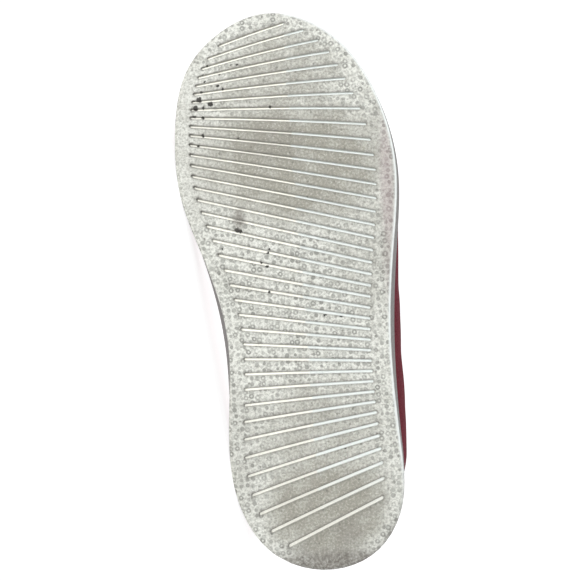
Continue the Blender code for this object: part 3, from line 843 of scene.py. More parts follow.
def new_material(name):
    """A material whose tree holds only its output and its shader."""
    material = bpy.data.materials.new(name)
    material.use_nodes = True
    return material, material.node_tree, material.node_tree.nodes["Principled BSDF"]


def finish_with(item, material):
    """Give a piece its material and its body."""
    item.data.materials.append(material)
    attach(item, "root")
    print(item.name, "is", material.name)


# A Mix node's sockets have the same names for numbers and for colours, so they go by number:
# 0 is the factor, 6 and 7 are the two colours, and output 2 is the mixed colour.
FACTOR, FIRST, SECOND, MIXED = 0, 6, 7, 2
print("white is", colour("#FFFFFF")[:3])

# %% The foam's dimples
DIMPLE_SPACING = 3.0
foam, tree, shader = new_material("moulded_eva_foam")
mm = add(tree, "Attribute", attribute_name="shoe_mm").outputs["Vector"]
cells = add(
    tree, "TexVoronoi",
    {"Vector": mm, "Scale": 1.0 / DIMPLE_SPACING, "Randomness": 0.6},
    voronoi_dimensions="2D",
)
chance = add(tree, "SeparateColor", {"Color": cells.outputs["Color"]})
size = add(tree, "MapRange", {"Value": chance.outputs["Red"], "To Min": 0.7, "To Max": 1.45})
reach = add(
    tree, "Math", {0: cells.outputs["Distance"], 1: size.outputs[0]}, operation="DIVIDE"
).outputs[0]
# Most dimples are round pits. In the largest, the middle stands up again and leaves a ring.
rim = add(
    tree, "MapRange", {"Value": reach, "From Min": 0.38, "From Max": 0.26},
    interpolation_type="SMOOTHSTEP",
)
knob = add(
    tree, "MapRange", {"Value": reach, "From Min": 0.18, "From Max": 0.07},
    interpolation_type="SMOOTHSTEP",
)
is_ring = add(tree, "Math", {0: chance.outputs["Red"], 1: 0.68}, operation="GREATER_THAN")
knob = add(tree, "Math", {0: knob.outputs[0], 1: is_ring.outputs[0]}, operation="MULTIPLY")
pit = add(
    tree, "Math", {0: rim.outputs[0], 1: knob.outputs[0]}, operation="SUBTRACT", use_clamp=True
)
shown = add(tree, "MapRange", {"Value": chance.outputs["Green"], "To Min": 0.3, "To Max": 1.0})
dimpled_here = add(tree, "Attribute", attribute_name="dimpled").outputs["Fac"]
pits = add(tree, "Math", {0: pit.outputs[0], 1: shown.outputs[0]}, operation="MULTIPLY")
pits = add(tree, "Math", {0: pits.outputs[0], 1: dimpled_here}, operation="MULTIPLY").outputs[0]
print("dimples", DIMPLE_SPACING, "mm apart")

# %% The foam's skin: fresh, worn, mottled and grained
grain = add(tree, "TexNoise", {"Vector": mm, "Scale": 0.9, "Detail": 4.0, "Roughness": 0.75})
mottle = add(tree, "TexNoise", {"Vector": mm, "Scale": 0.09, "Detail": 6.0, "Roughness": 0.65})
worn_here = add(tree, "Attribute", attribute_name="worn").outputs["Fac"]
patchy = add(
    tree, "MapRange",
    {"Value": mottle.outputs["Fac"], "From Min": 0.32, "From Max": 0.68, "To Min": -0.28,
     "To Max": 0.28},
)
wear = add(
    tree, "Math", {0: worn_here, 1: patchy.outputs[0]}, operation="ADD", use_clamp=True
).outputs[0]
skin = add(
    tree, "Mix",
    {FACTOR: wear, FIRST: colour("#D4D5CE"), SECOND: colour("#98968B")},
    data_type="RGBA",
).outputs[MIXED]
dark_grain = add(
    tree, "MapRange",
    {"Value": grain.outputs["Fac"], "From Min": 0.45, "From Max": 0.68, "To Max": 0.8},
)
bright_grain = add(
    tree, "MapRange",
    {"Value": grain.outputs["Fac"], "From Min": 0.45, "From Max": 0.3, "To Max": 0.6},
)
pitted = add(tree, "Math", {0: pits, 1: 0.84}, operation="MULTIPLY")
# Layers that go over the skin one after another: how much of each shows, and its colour.
layers = [
    (dark_grain.outputs[0], "#76756E"),
    (bright_grain.outputs[0], "#DADBD3"),
    (pitted.outputs[0], "#7E7F79"),
]
print("the land goes from fresh to worn, under", len(layers), "layers")

# %% Grooves: a clean floor, and a fine line of shade along the edges
floor_here = add(tree, "Attribute", attribute_name="groove").outputs["Fac"]
shade_here = add(tree, "Attribute", attribute_name="groove_shade").outputs["Fac"]
lined = add(tree, "Math", {0: shade_here, 1: 0.76}, operation="MULTIPLY")
layers += [(floor_here, "#FBFAF2"), (lined.outputs[0], "#5F5E58")]
print("with the grooves", len(layers), "layers")

# %% Dirt: hooks round the ends, and lumps with ragged edges
hook_here = add(tree, "Attribute", attribute_name="hook").outputs["Fac"]
hooked = add(tree, "Math", {0: hook_here, 1: 0.85}, operation="MULTIPLY")
ragged = add(tree, "TexNoise", {"Vector": mm, "Scale": 0.8, "Detail": 4.0, "Roughness": 0.7})
lump_here = add(tree, "Attribute", attribute_name="lump").outputs["Fac"]
lumpy = add(tree, "Math", {0: lump_here, 1: ragged.outputs["Fac"]}, operation="ADD")
lumpy = add(
    tree, "MapRange",
    {"Value": lumpy.outputs[0], "From Min": 0.92, "From Max": 1.12, "To Max": 0.96},
)
layers += [(hooked.outputs[0], "#34322D"), (lumpy.outputs[0], "#211F1C")]
print("with the dirt", len(layers), "layers")

# %% Specks on the land
SPECK_SPACING = 12.0
specks = add(
    tree, "TexVoronoi", {"Vector": mm, "Scale": 1.0 / SPECK_SPACING}, voronoi_dimensions="2D"
)
dots = add(
    tree, "MapRange",
    {"Value": specks.outputs["Distance"], "From Min": 0.06, "From Max": 0.025, "To Max": 0.5},
)
on_sole_face = add(tree, "Attribute", attribute_name="on_tread").outputs["Fac"]
dots = add(tree, "Math", {0: dots.outputs[0], 1: on_sole_face}, operation="MULTIPLY")
dots = add(tree, "Math", {0: dots.outputs[0], 1: floor_here}, operation="SUBTRACT", use_clamp=True)
layers.append((dots.outputs[0], "#57544D"))
print("specks", SPECK_SPACING, "mm apart")

# %% Dirt with painted shade, and the felt's painted reflection
dirt_and_shade_here = add(tree, "Attribute", attribute_name="dirt_and_shade").outputs["Fac"]
cloudy = add(
    tree, "MapRange",
    {"Value": ragged.outputs["Fac"], "From Min": 0.3, "From Max": 0.65, "To Min": 0.35,
     "To Max": 0.95},
)
# Dirt, with painted shade behind the heel, mixed in as a brownish grey.
dirt_and_shade_tint = add(tree, "Math", {0: dirt_and_shade_here, 1: cloudy.outputs[0]}, operation="MULTIPLY")
# Painted reflection of the red felt: a pinkish grey along the tread's outer edge.
felt_reflection_here = add(tree, "Attribute", attribute_name="painted_felt_reflection").outputs["Fac"]
felt_reflection_tint = add(tree, "Math", {0: felt_reflection_here, 1: 0.4}, operation="MULTIPLY")
layers += [(dirt_and_shade_tint.outputs[0], "#625C55"), (felt_reflection_tint.outputs[0], "#A58E92")]
for amount, code in layers:
    over = add(tree, "Mix", {FACTOR: amount, FIRST: skin, SECOND: colour(code)}, data_type="RGBA")
    skin = over.outputs[MIXED]
print("laid", len(layers), "layers over the skin")

# %% The sides get painted shade, the outer edge a painted highlight, and the shader takes it all
# Painted shade: the sides are coloured dark grey for the shade they lie in, mottled by the grain
# between two greys.
side_mottle = add(tree, "MapRange", {"Value": grain.outputs["Fac"], "From Min": 0.3, "From Max": 0.7})
painted_shade_side = add(
    tree, "Mix",
    {FACTOR: side_mottle.outputs[0], FIRST: colour("#84817F"), SECOND: colour("#6B6867")},
    data_type="RGBA",
)
skin = add(
    tree, "Mix",
    {FACTOR: on_sole_face, FIRST: painted_shade_side.outputs[MIXED], SECOND: skin},
    data_type="RGBA",
)
# Painted highlight: the rounded outer edge is mixed towards a pale grey-white.
painted_edge_highlight_here = add(tree, "Attribute", attribute_name="painted_edge_highlight").outputs["Fac"]
skin = add(
    tree, "Mix",
    {FACTOR: painted_edge_highlight_here, FIRST: skin.outputs[MIXED], SECOND: colour("#E3E7E5")},
    data_type="RGBA",
)
tree.links.new(skin.outputs[MIXED], shader.inputs["Base Color"])
shader.inputs["Roughness"].default_value = 0.62
shader.inputs["IOR"].default_value = 1.49
shader.inputs["Specular IOR Level"].default_value = 0.35
print("foam roughness", round(shader.inputs["Roughness"].default_value, 2))

# %% The foam's bump, in millimetres
DIMPLE_DEPTH = 0.2
GRAIN_HEIGHT = 0.25
deep = add(tree, "Math", {0: pits, 1: -DIMPLE_DEPTH}, operation="MULTIPLY")
fine = add(tree, "Math", {0: grain.outputs["Fac"], 1: GRAIN_HEIGHT}, operation="MULTIPLY")
relief = add(tree, "Math", {0: deep.outputs[0], 1: fine.outputs[0]}, operation="ADD")
bump = add(tree, "Bump", {"Height": relief.outputs[0], "Distance": 0.001, "Strength": 1.0})
tree.links.new(bump.outputs["Normal"], shader.inputs["Normal"])
finish_with(sole, foam)
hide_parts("sole")

# %% [markdown]
# ## The felt upper
#
# The upper is thick wool felt, pulled over a last and closed with one seam at the back. It leaves
# the sole, bulges over the foot's joints, and turns in to the opening. A lasted shape is one smooth
# surface, so each upright line of it is drawn as one Bezier curve, from the sole to the opening.
# The inside is the same surface moved in by the thickness of felt and lining together.

# %% Sizes of the upper
WALL = 2.4
LEDGE = 2.2
GAP = 0.3
OPENING_WIDTH = 64.0
HEEL_HEIGHT = 74.0
ANKLE_HEIGHT = 62.0
THROAT_HEIGHT = 79.0
INNER_ANKLE_RISE = 2.0
THROAT_GATHER = 0.72
# Where the opening's edge falls and climbs, as shares of the length, and by how much.
EDGE_FALLS_AT = 0.10
EDGE_LOWEST_AT = 0.27
EDGE_CLIMBS_AT = 0.43
FALLEN_PART = 0.25
CLIMBED_PART = 0.45
OPENING_SAMPLES = 1200
SIDE_STEPS = 120
UPPER_ROWS = 60
print("felt wall", WALL, "mm")

# %% The opening's outline, and how the upper's lines leave the sole and reach the opening
# Shares of the sole's length, with shares of the opening's half width.
OPENING_EDGE = (
    (0.046, 0.52),
    (0.110, 0.88),
    (0.220, 1.00),
    (0.350, 0.94),
    (0.460, 0.72),
    (0.530, 0.38),
)
OPENING_BACK = 0.030
OPENING_FRONT = 0.555
# Shares of the way from heel to toe, with the outward lean on leaving the sole.
START_LEAN_INNER = (
    (0.0, 0.10),
    (0.27, 0.46),
    (0.36, 0.32),
    (0.45, 0.24),
    (0.62, 0.44),
    (0.72, 0.33),
    (0.85, 0.08),
    (1.0, 0.05),
)
START_LEAN_OUTER = (
    (0.0, 0.10),
    (0.20, 0.20),
    (0.26, 0.56),
    (0.37, 0.66),
    (0.44, 0.62),
    (0.53, 0.40),
    (0.65, 0.16),
    (0.85, 0.06),
    (1.0, 0.05),
)
# How far each line pulls at its start and its end, in mm, and its angle in degrees at the end.
START_REACH = ((0.0, 24.0), (0.3, 22.0), (0.6, 25.0), (0.8, 25.0), (1.0, 25.0))
END_ANGLE = ((0.0, 80.0), (0.3, 76.0), (0.5, 62.0), (0.7, 44.0), (0.85, 30.0), (1.0, 22.0))
END_REACH = ((0.0, 20.0), (0.3, 18.0), (0.5, 26.0), (0.7, 36.0), (1.0, 62.0))
print("opening from", OPENING_BACK * LENGTH, "to", round(OPENING_FRONT * LENGTH), "mm")


# %% Rings of points that face each other
def paired_ring(curve, steps):
    """Points round a plan curve, from the heel along the inner side, in pairs at equal lengths."""
    back = int(np.argmin(curve[:, 1]))
    rolled = np.roll(curve, -back, axis=0)
    front = int(np.argmax(rolled[:, 1]))
    inner = rolled[: front + 1]
    outer = np.concatenate([rolled[front:], rolled[:1]])[::-1]
    t = (1.0 - np.cos(np.pi * np.arange(steps + 1) / steps)) / 2.0
    y = rolled[0, 1] + (rolled[front, 1] - rolled[0, 1]) * t
    one = np.column_stack([np.interp(y, inner[:, 1], inner[:, 0]), y])
    other = np.column_stack([np.interp(y, outer[:, 1], outer[:, 0]), y])
    one[0] = rolled[0]
    one[-1] = rolled[front]
    return np.concatenate([one, other[-2:0:-1]])


def feather_plan(inset, steps=SIDE_STEPS):
    """Plan ring that runs inside the sole's lip by the inset."""
    return paired_ring(edge + edge_out * (flare - inset)[:, None], steps)


print("points in a ring", len(feather_plan(LEDGE)))

# %% The opening's edge
opening_points = [(0.0, OPENING_BACK * LENGTH)]
opening_points += [(w * OPENING_WIDTH / 2.0, s * LENGTH) for s, w in OPENING_EDGE]
opening_points.append((0.0, OPENING_FRONT * LENGTH))
opening_points += [(-w * OPENING_WIDTH / 2.0, s * LENGTH) for s, w in reversed(OPENING_EDGE)]
opening = closed_curve(opening_points, OPENING_SAMPLES)
opening_out = outward(opening)
back = int(np.argmin(opening[:, 1]))
opening = np.roll(opening, -back, axis=0)
opening_out = np.roll(opening_out, -back, axis=0)
front = int(np.argmax(opening[:, 1]))
print("opening", round(float(np.ptp(opening[:, 1]))), "mm long")

# %% Where each upright line of the upper ends
column = np.arange(2 * SIDE_STEPS)
way = np.where(column <= SIDE_STEPS, column, 2 * SIDE_STEPS - column) / SIDE_STEPS
is_inner = (column > 0) & (column < SIDE_STEPS)
gathered = way * (1.0 + THROAT_GATHER * (1.0 - way))
opening_index = np.where(
    column <= SIDE_STEPS, gathered * front, len(opening) - gathered * (len(opening) - front)
)
end_plan = at(opening, opening_index)
end_out = at(opening_out, opening_index)
end_out /= np.linalg.norm(end_out, axis=1)[:, None]


def opening_height(share, inner):
    """Height of the opening's edge on one side."""
    low = ANKLE_HEIGHT + (INNER_ANKLE_RISE if inner else 0.0)
    return along(
        (
            (OPENING_BACK, HEEL_HEIGHT),
            (EDGE_FALLS_AT, HEEL_HEIGHT - FALLEN_PART * (HEEL_HEIGHT - low)),
            (EDGE_LOWEST_AT, low),
            (EDGE_CLIMBS_AT, low + CLIMBED_PART * (THROAT_HEIGHT - low)),
            (OPENING_FRONT, THROAT_HEIGHT),
        ),
        share,
    )


end_share = end_plan[:, 1] / LENGTH
end_height = np.where(is_inner, opening_height(end_share, True), opening_height(end_share, False))
end = np.column_stack([end_plan, end_height])
print("lowest place of the opening's edge", round(float(end_height.min())), "mm up")

# %% The outside of the upper
feather = feather_plan(LEDGE)
feather_out = outward(feather)
start = np.column_stack([feather, footbed_height(feather[:, 1]) + GAP])
lean = np.where(is_inner, along(START_LEAN_INNER, way), along(START_LEAN_OUTER, way))
reach = along(START_REACH, way)[:, None]
first_pull = start + np.column_stack([feather_out * lean[:, None], np.ones(len(lean))]) * reach
angle = np.radians(along(END_ANGLE, way))
down = np.column_stack([end_out * np.cos(angle)[:, None], -np.sin(angle)])
second_pull = end + down * along(END_REACH, way)[:, None]
t = np.linspace(0.0, 1.0, UPPER_ROWS + 1)[:, None, None]
outside = (
    (1 - t) ** 3 * start
    + 3 * t * (1 - t) ** 2 * first_pull
    + 3 * t * t * (1 - t) * second_pull
    + t**3 * end
)


def grid_normals(points):
    """Normals of a grid of points whose rows are closed rings."""
    around = np.roll(points, -1, axis=1) - np.roll(points, 1, axis=1)
    upwards = np.gradient(points, axis=0)
    normals = np.cross(around, upwards)
    return normals / np.linalg.norm(normals, axis=2)[..., None]


smooth_normals = grid_normals(outside)
print("upper reaches", np.ptp(outside.reshape(-1, 3), axis=0).round(1), "mm")

# %% [markdown]
# ## Creases
#
# Felt keeps a memory of the foot. It folds across the ball where the shoe bends, and slackens below
# the opening where the ankle presses. Each crease is a line with a depth and a width, in
# millimetres: a soft trough, with a low ridge on both sides. A slow noise adds the unevenness that
# hand-pulled felt always has.

# %% Creases across the ball and below the opening
# Each crease: one end, the other end, its depth and its width, in mm, seen from above.
VAMP_CREASES = (
    (42.0, 186.0, -40.0, 168.0, 1.5, 3.4),
    (38.0, 199.0, -34.0, 183.0, 1.1, 3.0),
    (44.0, 172.0, 8.0, 161.0, 0.9, 3.0),
    (26.0, 212.0, -22.0, 198.0, 0.6, 3.2),
    (-6.0, 160.0, -42.0, 152.0, 0.9, 2.8),
)
# On the sides: which side, then the same, seen from that side.
SIDE_CREASES = (
    (1.0, 62.0, 50.0, 96.0, 40.0, 0.8, 3.0),
    (1.0, 34.0, 60.0, 52.0, 38.0, 0.6, 3.0),
    (-1.0, 70.0, 50.0, 104.0, 38.0, 0.8, 3.2),
    (-1.0, 30.0, 58.0, 54.0, 42.0, 0.6, 2.8),
    (-1.0, 112.0, 52.0, 136.0, 36.0, 0.7, 3.0),
)


def trough(a, b, x0, y0, x1, y1, depth, width):
    """Depth of one crease: a trough along a line, with a low ridge on both sides."""
    dx, dy = x1 - x0, y1 - y0
    length = math.hypot(dx, dy)
    along_line = ((a - x0) * dx + (b - y0) * dy) / length
    beside = ((b - y0) * dx - (a - x0) * dy) / length
    beside = beside + 0.06 * width * np.sin(along_line * 0.35)
    inside = ease(along_line, 0.0, 0.25 * length) * (1.0 - ease(along_line, 0.7 * length, length))
    valley = np.exp(-((beside / width) ** 2))
    ridge = np.exp(-(((np.abs(beside) - 2.1 * width) / (1.1 * width)) ** 2))
    return depth * inside * (valley - 0.35 * ridge)


print("creases", len(VAMP_CREASES) + len(SIDE_CREASES))

# %% Sink the creases, and slacken the felt
SLACK = 0.7
SLACK_SCALE = 0.045
x, y, z = outside[..., 0], outside[..., 1], outside[..., 2]
flat_top = ease(smooth_normals[..., 2], 0.15, 0.6)
sunk = np.zeros(x.shape)
for crease in VAMP_CREASES:
    sunk += trough(x, y, *crease) * flat_top
for side, *crease in SIDE_CREASES:
    sunk += trough(y, z, *crease) * ease(side * x, 6.0, 14.0)
held = ease(t[..., 0], 0.0, 0.12) * (1.0 - ease(t[..., 0], 0.9, 1.0))
slack = np.array([noise.noise(Vector(p) * SLACK_SCALE) for p in outside.reshape(-1, 3)])
slack = slack.reshape(x.shape) * SLACK
outside = outside - smooth_normals * ((sunk + slack) * held)[..., None]
normals = grid_normals(outside)
inside = outside - normals * WALL
print("deepest crease", round(float(sunk.max()), 2), "mm")

# %% Join the upper
count = 2 * SIDE_STEPS
rings_up = UPPER_ROWS + 1
outer_grid = np.arange(rings_up * count).reshape(rings_up, count)
inner_grid = outer_grid + outer_grid.size
upper_faces = []
for low, high in zip(outer_grid, outer_grid[1:]):
    upper_faces += quads(low, high, closed=True)
outer_faces = len(upper_faces)
for low, high in zip(inner_grid[1:], inner_grid):
    upper_faces += quads(low, high, closed=True)
lined_faces = len(upper_faces)
upper_faces += quads(outer_grid[-1], inner_grid[-1], closed=True)
upper_faces += quads(inner_grid[0], outer_grid[0], closed=True)
upper_points = np.concatenate([outside.reshape(-1, 3), inside.reshape(-1, 3)])
upper = new_piece("upper_felt_shell", upper_points, upper_faces, 70.0)
keep_values(upper, "shoe_mm", upper_points)

# %% [markdown]
# ## Wool felt, and the lining
#
# Felt is matted wool: no weave, short fibres lying every way, and a soft fuzz that catches light at
# grazing angles. Heather comes from fibres of two reds. The noise is stretched into fibre lengths
# of a few millimetres, and sheen stands for the fuzz. The lining is a plain brushed knit in a
# quieter tone, on the inner faces of the same shell.

# %% The felt
FIBRE_STRETCHES = ((1.0, 0.22, 0.5), (0.22, 1.0, 0.5), (0.4, 0.5, 1.0))
felt, tree, shader = new_material("red_wool_felt")
mm = add(tree, "Attribute", attribute_name="shoe_mm").outputs["Vector"]
crossed = 0.0
for stretch in FIBRE_STRETCHES:
    stretched = add(tree, "Mapping", {"Vector": mm, "Scale": stretch})
    fibres = add(
        tree, "TexNoise",
        {"Vector": stretched.outputs["Vector"], "Scale": 1.6, "Detail": 5.0, "Roughness": 0.72,
         "Distortion": 0.6},
    )
    crossed = add(tree, "Math", {0: fibres.outputs["Fac"], 1: crossed}, operation="ADD").outputs[0]
heather = add(tree, "MapRange", {"Value": crossed, "From Min": 1.25, "From Max": 1.75})
slow = add(tree, "TexNoise", {"Vector": mm, "Scale": 0.035, "Detail": 3.0})
faded = add(
    tree, "MapRange",
    {"Value": slow.outputs["Fac"], "From Min": 0.3, "From Max": 0.7, "To Max": 0.5},
)
wool = add(
    tree, "Mix",
    {FACTOR: heather.outputs[0], FIRST: colour("#411019"), SECOND: colour("#712833")},
    data_type="RGBA",
)
wool = add(
    tree, "Mix",
    {FACTOR: faded.outputs[0], FIRST: wool.outputs[MIXED], SECOND: colour("#5C1B26")},
    data_type="RGBA",
)
tree.links.new(wool.outputs[MIXED], shader.inputs["Base Color"])
print("fibre directions", len(FIBRE_STRETCHES))

# %% The felt's fuzz and relief
shader.inputs["Roughness"].default_value = 0.95
shader.inputs["Specular IOR Level"].default_value = 0.2
shader.inputs["Sheen Weight"].default_value = 0.3
shader.inputs["Sheen Roughness"].default_value = 0.45
shader.inputs["Sheen Tint"].default_value = colour("#A8626B")
matted = add(tree, "Math", {0: crossed, 1: 0.4}, operation="MULTIPLY")
bump = add(tree, "Bump", {"Height": matted.outputs[0], "Distance": 0.001, "Strength": 0.9})
tree.links.new(bump.outputs["Normal"], shader.inputs["Normal"])
finish_with(upper, felt)
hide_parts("upper")

# %% The lining, on the inner faces
lining, tree, shader = new_material("brushed_knit_lining")
mm = add(tree, "Attribute", attribute_name="shoe_mm").outputs["Vector"]
loops = add(tree, "TexVoronoi", {"Vector": mm, "Scale": 0.8, "Randomness": 0.5})
nap = add(tree, "TexNoise", {"Vector": mm, "Scale": 0.9, "Detail": 4.0, "Roughness": 0.65})
napped = add(tree, "MapRange", {"Value": nap.outputs["Fac"], "From Min": 0.3, "From Max": 0.7})
knit = add(
    tree, "Mix",
    {FACTOR: napped.outputs[0], FIRST: colour("#5B464A"), SECOND: colour("#7A6468")},
    data_type="RGBA",
)
tree.links.new(knit.outputs[MIXED], shader.inputs["Base Color"])
shader.inputs["Roughness"].default_value = 0.95
shader.inputs["Specular IOR Level"].default_value = 0.2
shader.inputs["Sheen Weight"].default_value = 0.25
looped = add(tree, "Math", {0: loops.outputs["Distance"], 1: 0.3}, operation="MULTIPLY")
brushed = add(tree, "Math", {0: nap.outputs["Fac"], 1: 0.3}, operation="MULTIPLY")
relief = add(tree, "Math", {0: looped.outputs[0], 1: brushed.outputs[0]}, operation="ADD")
bump = add(tree, "Bump", {"Height": relief.outputs[0], "Distance": 0.001, "Strength": 0.8})
tree.links.new(bump.outputs["Normal"], shader.inputs["Normal"])
upper.data.materials.append(lining)
for face in upper.data.polygons[outer_faces:lined_faces]:
    face.material_index = 1
print("lining on", lined_faces - outer_faces, "faces")

# %% [markdown]
# ## Binding and heel tape
#
# The raw edge of the felt is folded in a tape that is sewn through all layers. A second tape covers
# the seam at the back. Both follow the felt's own surface, so they are made from it: measure down
# from the edge, or out from the back's middle line, and stand a little proud.

# %% Measuring down from the opening's edge
falls = outside[::-1]
fall_normals = normals[::-1]
fall_steps = np.linalg.norm(np.diff(falls, axis=0), axis=2)
fall_lengths = np.concatenate([np.zeros((1, count)), np.cumsum(fall_steps, axis=0)])


def below_edge(distance, proud):
    """One ring of points at a distance below the opening's edge, standing proud of the felt."""
    points = np.empty((count, 3))
    for k in range(count):
        for axis in range(3):
            base = np.interp(distance, fall_lengths[:, k], falls[:, k, axis])
            turn = np.interp(distance, fall_lengths[:, k], fall_normals[:, k, axis])
            points[k, axis] = base + turn * proud
    return points


print("longest fall from the edge", round(float(fall_lengths[-1].max())), "mm")

# %% Fold the tape over the edge
TAPE_WIDTH = 8.0
TAPE = 0.7
FOLD_STEPS = 9
rim_up = outside[-1] - outside[-2]
rim_up /= np.linalg.norm(rim_up, axis=1)[:, None]
middle = outside[-1] - normals[-1] * WALL / 2.0
# Each step down the tape: how far below the opening's edge, and how proud of the felt.
profile = [(TAPE_WIDTH + 0.1, -0.1), (TAPE_WIDTH, 0.45 * TAPE), (TAPE_WIDTH - 0.5, TAPE)]
profile += [(TAPE_WIDTH - 2.2, 0.55 * TAPE), (TAPE_WIDTH - 4.0, TAPE), (1.5, 1.15 * TAPE)]
tape_rings = [below_edge(*step) for step in profile]
half_thick = WALL / 2.0 + 1.15 * TAPE
for degrees in np.linspace(0.0, 180.0, FOLD_STEPS):
    turn = math.radians(degrees)
    out = normals[-1] * half_thick * math.cos(turn)
    over = rim_up * half_thick * 0.8 * math.sin(turn)
    tape_rings.append(middle + out + over)
tape_rings += [below_edge(distance, -WALL - proud) for distance, proud in reversed(profile)]
tape_points = np.concatenate(tape_rings)
tape_grid = np.arange(len(tape_points)).reshape(len(tape_rings), count)
tape_faces = []
for low, high in zip(tape_grid, tape_grid[1:]):
    tape_faces += quads(low, high, closed=True)
tape_faces += quads(tape_grid[-1], tape_grid[0], closed=True)
binding = new_piece("collar_binding", tape_points, tape_faces, 70.0)
keep_values(binding, "shoe_mm", tape_points)

# %% The tape over the back seam
HEEL_TAPE_WIDTH = 13.0
COLUMNS_NEAR = 16
near = np.arange(-COLUMNS_NEAR, COLUMNS_NEAR + 1)
tape_across = np.linspace(-1.0, 1.0, 11)
tape_proud = 0.7 * (1.0 - np.abs(tape_across) ** 8) - 0.05
heel_rows = []
for j in range(0, UPPER_ROWS - 3):
    points = outside[j, near]
    steps = np.linalg.norm(np.diff(points, axis=0), axis=1)
    reached = np.concatenate([[0.0], np.cumsum(steps)])
    reached -= reached[COLUMNS_NEAR]
    wanted = tape_across * HEEL_TAPE_WIDTH / 2.0
    base = np.stack([np.interp(wanted, reached, points[:, a]) for a in range(3)], axis=1)
    turn = np.stack([np.interp(wanted, reached, normals[j, near, a]) for a in range(3)], axis=1)
    heel_rows.append((base, turn))
print("heel tape", len(heel_rows), "rows")

# %% Join the heel tape
heel_points = [base + turn * tape_proud[:, None] for base, turn in heel_rows]
heel_points += [base - turn * 0.3 for base, turn in heel_rows]
heel_points = np.concatenate(heel_points)
size = len(heel_rows) * len(tape_across)
front_grid = np.arange(size).reshape(len(heel_rows), -1)
back_grid = front_grid + size
heel_faces = []
for low, high in zip(front_grid, front_grid[1:]):
    heel_faces += quads(low, high)
for low, high in zip(back_grid[1:], back_grid):
    heel_faces += quads(low, high)
border = [*front_grid[0], *front_grid[1:, -1], *front_grid[-1, -2::-1], *front_grid[-2:0:-1, 0]]
heel_faces += quads([n + size for n in border], border, closed=True)
heel_tape = new_piece("heel_tape", heel_points, heel_faces, 60.0)
keep_values(heel_tape, "shoe_mm", heel_points)

# %% [markdown]
# ## Cotton tape and thread
#
# The tape is a fine cotton twill: ribs about a millimetre apart run at a slant. The thread is
# bonded polyester, a little glossy, in stitches 3 mm long. Each stitch is a short bulging capsule
# half sunk in the tape, because thread pulls itself in.

# %% The tape's twill
tape, tree, shader = new_material("cotton_twill_tape")
mm = add(tree, "Attribute", attribute_name="shoe_mm").outputs["Vector"]
slanted = add(tree, "Mapping", {"Vector": mm, "Rotation": (0.5, 0.4, 0.6)})
ribs = add(
    tree, "TexWave",
    {"Vector": slanted.outputs["Vector"], "Scale": 0.3, "Distortion": 0.8, "Detail": 2.0},
)
fluff = add(tree, "TexNoise", {"Vector": mm, "Scale": 1.2, "Detail": 4.0})
fluffed = add(
    tree, "MapRange",
    {"Value": fluff.outputs["Fac"], "From Min": 0.35, "From Max": 0.7, "To Max": 0.4},
)
twill = add(
    tree, "Mix",
    {FACTOR: ribs.outputs["Fac"], FIRST: colour("#551824"), SECOND: colour("#7A2C39")},
    data_type="RGBA",
)
twill = add(
    tree, "Mix",
    {FACTOR: fluffed.outputs[0], FIRST: twill.outputs[MIXED], SECOND: colour("#884451")},
    data_type="RGBA",
)
tree.links.new(twill.outputs[MIXED], shader.inputs["Base Color"])
shader.inputs["Roughness"].default_value = 0.85
shader.inputs["Sheen Weight"].default_value = 0.2
ribbed = add(tree, "Math", {0: ribs.outputs["Fac"], 1: 0.12}, operation="MULTIPLY")
bump = add(tree, "Bump", {"Height": ribbed.outputs[0], "Distance": 0.001, "Strength": 1.0})
tree.links.new(bump.outputs["Normal"], shader.inputs["Normal"])
finish_with(binding, tape)
finish_with(heel_tape, tape)

# %% One stitch
STITCH = 2.9
STITCH_PITCH = 3.8
THREAD = 0.36
stitch_points = []
stitch_faces = []


def add_stitch(place, direction, normal):
    """Add one stitch: a six-sided capsule, thin at both ends."""
    side = np.cross(direction, normal)
    made = sum(len(p) for p in stitch_points)
    capsule = []
    # Each ring of the capsule: its place along the stitch, and its share of the thread's radius.
    for step, size in ((-0.5, 0.25), (-0.36, 0.8), (0.0, 1.0), (0.36, 0.8), (0.5, 0.25)):
        for k in range(6):
            a = math.tau * k / 6
            rise = normal * (math.sin(a) * size + 0.35 * size - 0.35) * THREAD
            reach_out = side * math.cos(a) * size * THREAD
            capsule.append(place + direction * step * STITCH + reach_out + rise)
    stitch_points.append(np.array(capsule))
    for r in range(4):
        for k in range(6):
            a, b = made + 6 * r + k, made + 6 * r + (k + 1) % 6
            stitch_faces.append([a, b, b + 6, a + 6])
    stitch_faces.append([made + k for k in range(5, -1, -1)])
    stitch_faces.append([made + 24 + k for k in range(6)])


print("a stitch every", STITCH_PITCH, "mm")


# %% Stitches along a line
def stitch_along(line, turns, closed):
    """Put stitches at an even pitch along a line that has a normal at each point."""
    if closed:
        line = np.concatenate([line, line[:1]])
        turns = np.concatenate([turns, turns[:1]])
    reached = np.concatenate([[0.0], np.cumsum(np.linalg.norm(np.diff(line, axis=0), axis=1))])
    stitches = max(1, int(reached[-1] / STITCH_PITCH))
    for n in range(stitches):
        middle = (n + 0.5) * reached[-1] / stitches
        ends = []
        for side in (-1.0, 1.0):
            at_end = middle + side * STITCH / 2.0
            ends.append(np.array([np.interp(at_end, reached, line[:, a]) for a in range(3)]))
        normal = np.array([np.interp(middle, reached, turns[:, a]) for a in range(3)])
        direction = ends[1] - ends[0]
        add_stitch(
            (ends[0] + ends[1]) / 2.0,
            direction / np.linalg.norm(direction),
            normal / np.linalg.norm(normal),
        )


print("the binding's stitches lie", round(TAPE_WIDTH - 2.2, 1), "mm below its edge")

# %% Sew the binding and the heel tape
stitch_line = below_edge(TAPE_WIDTH - 2.2, 0.55 * TAPE + 0.12)
stitch_along(stitch_line, normals[-5], True)
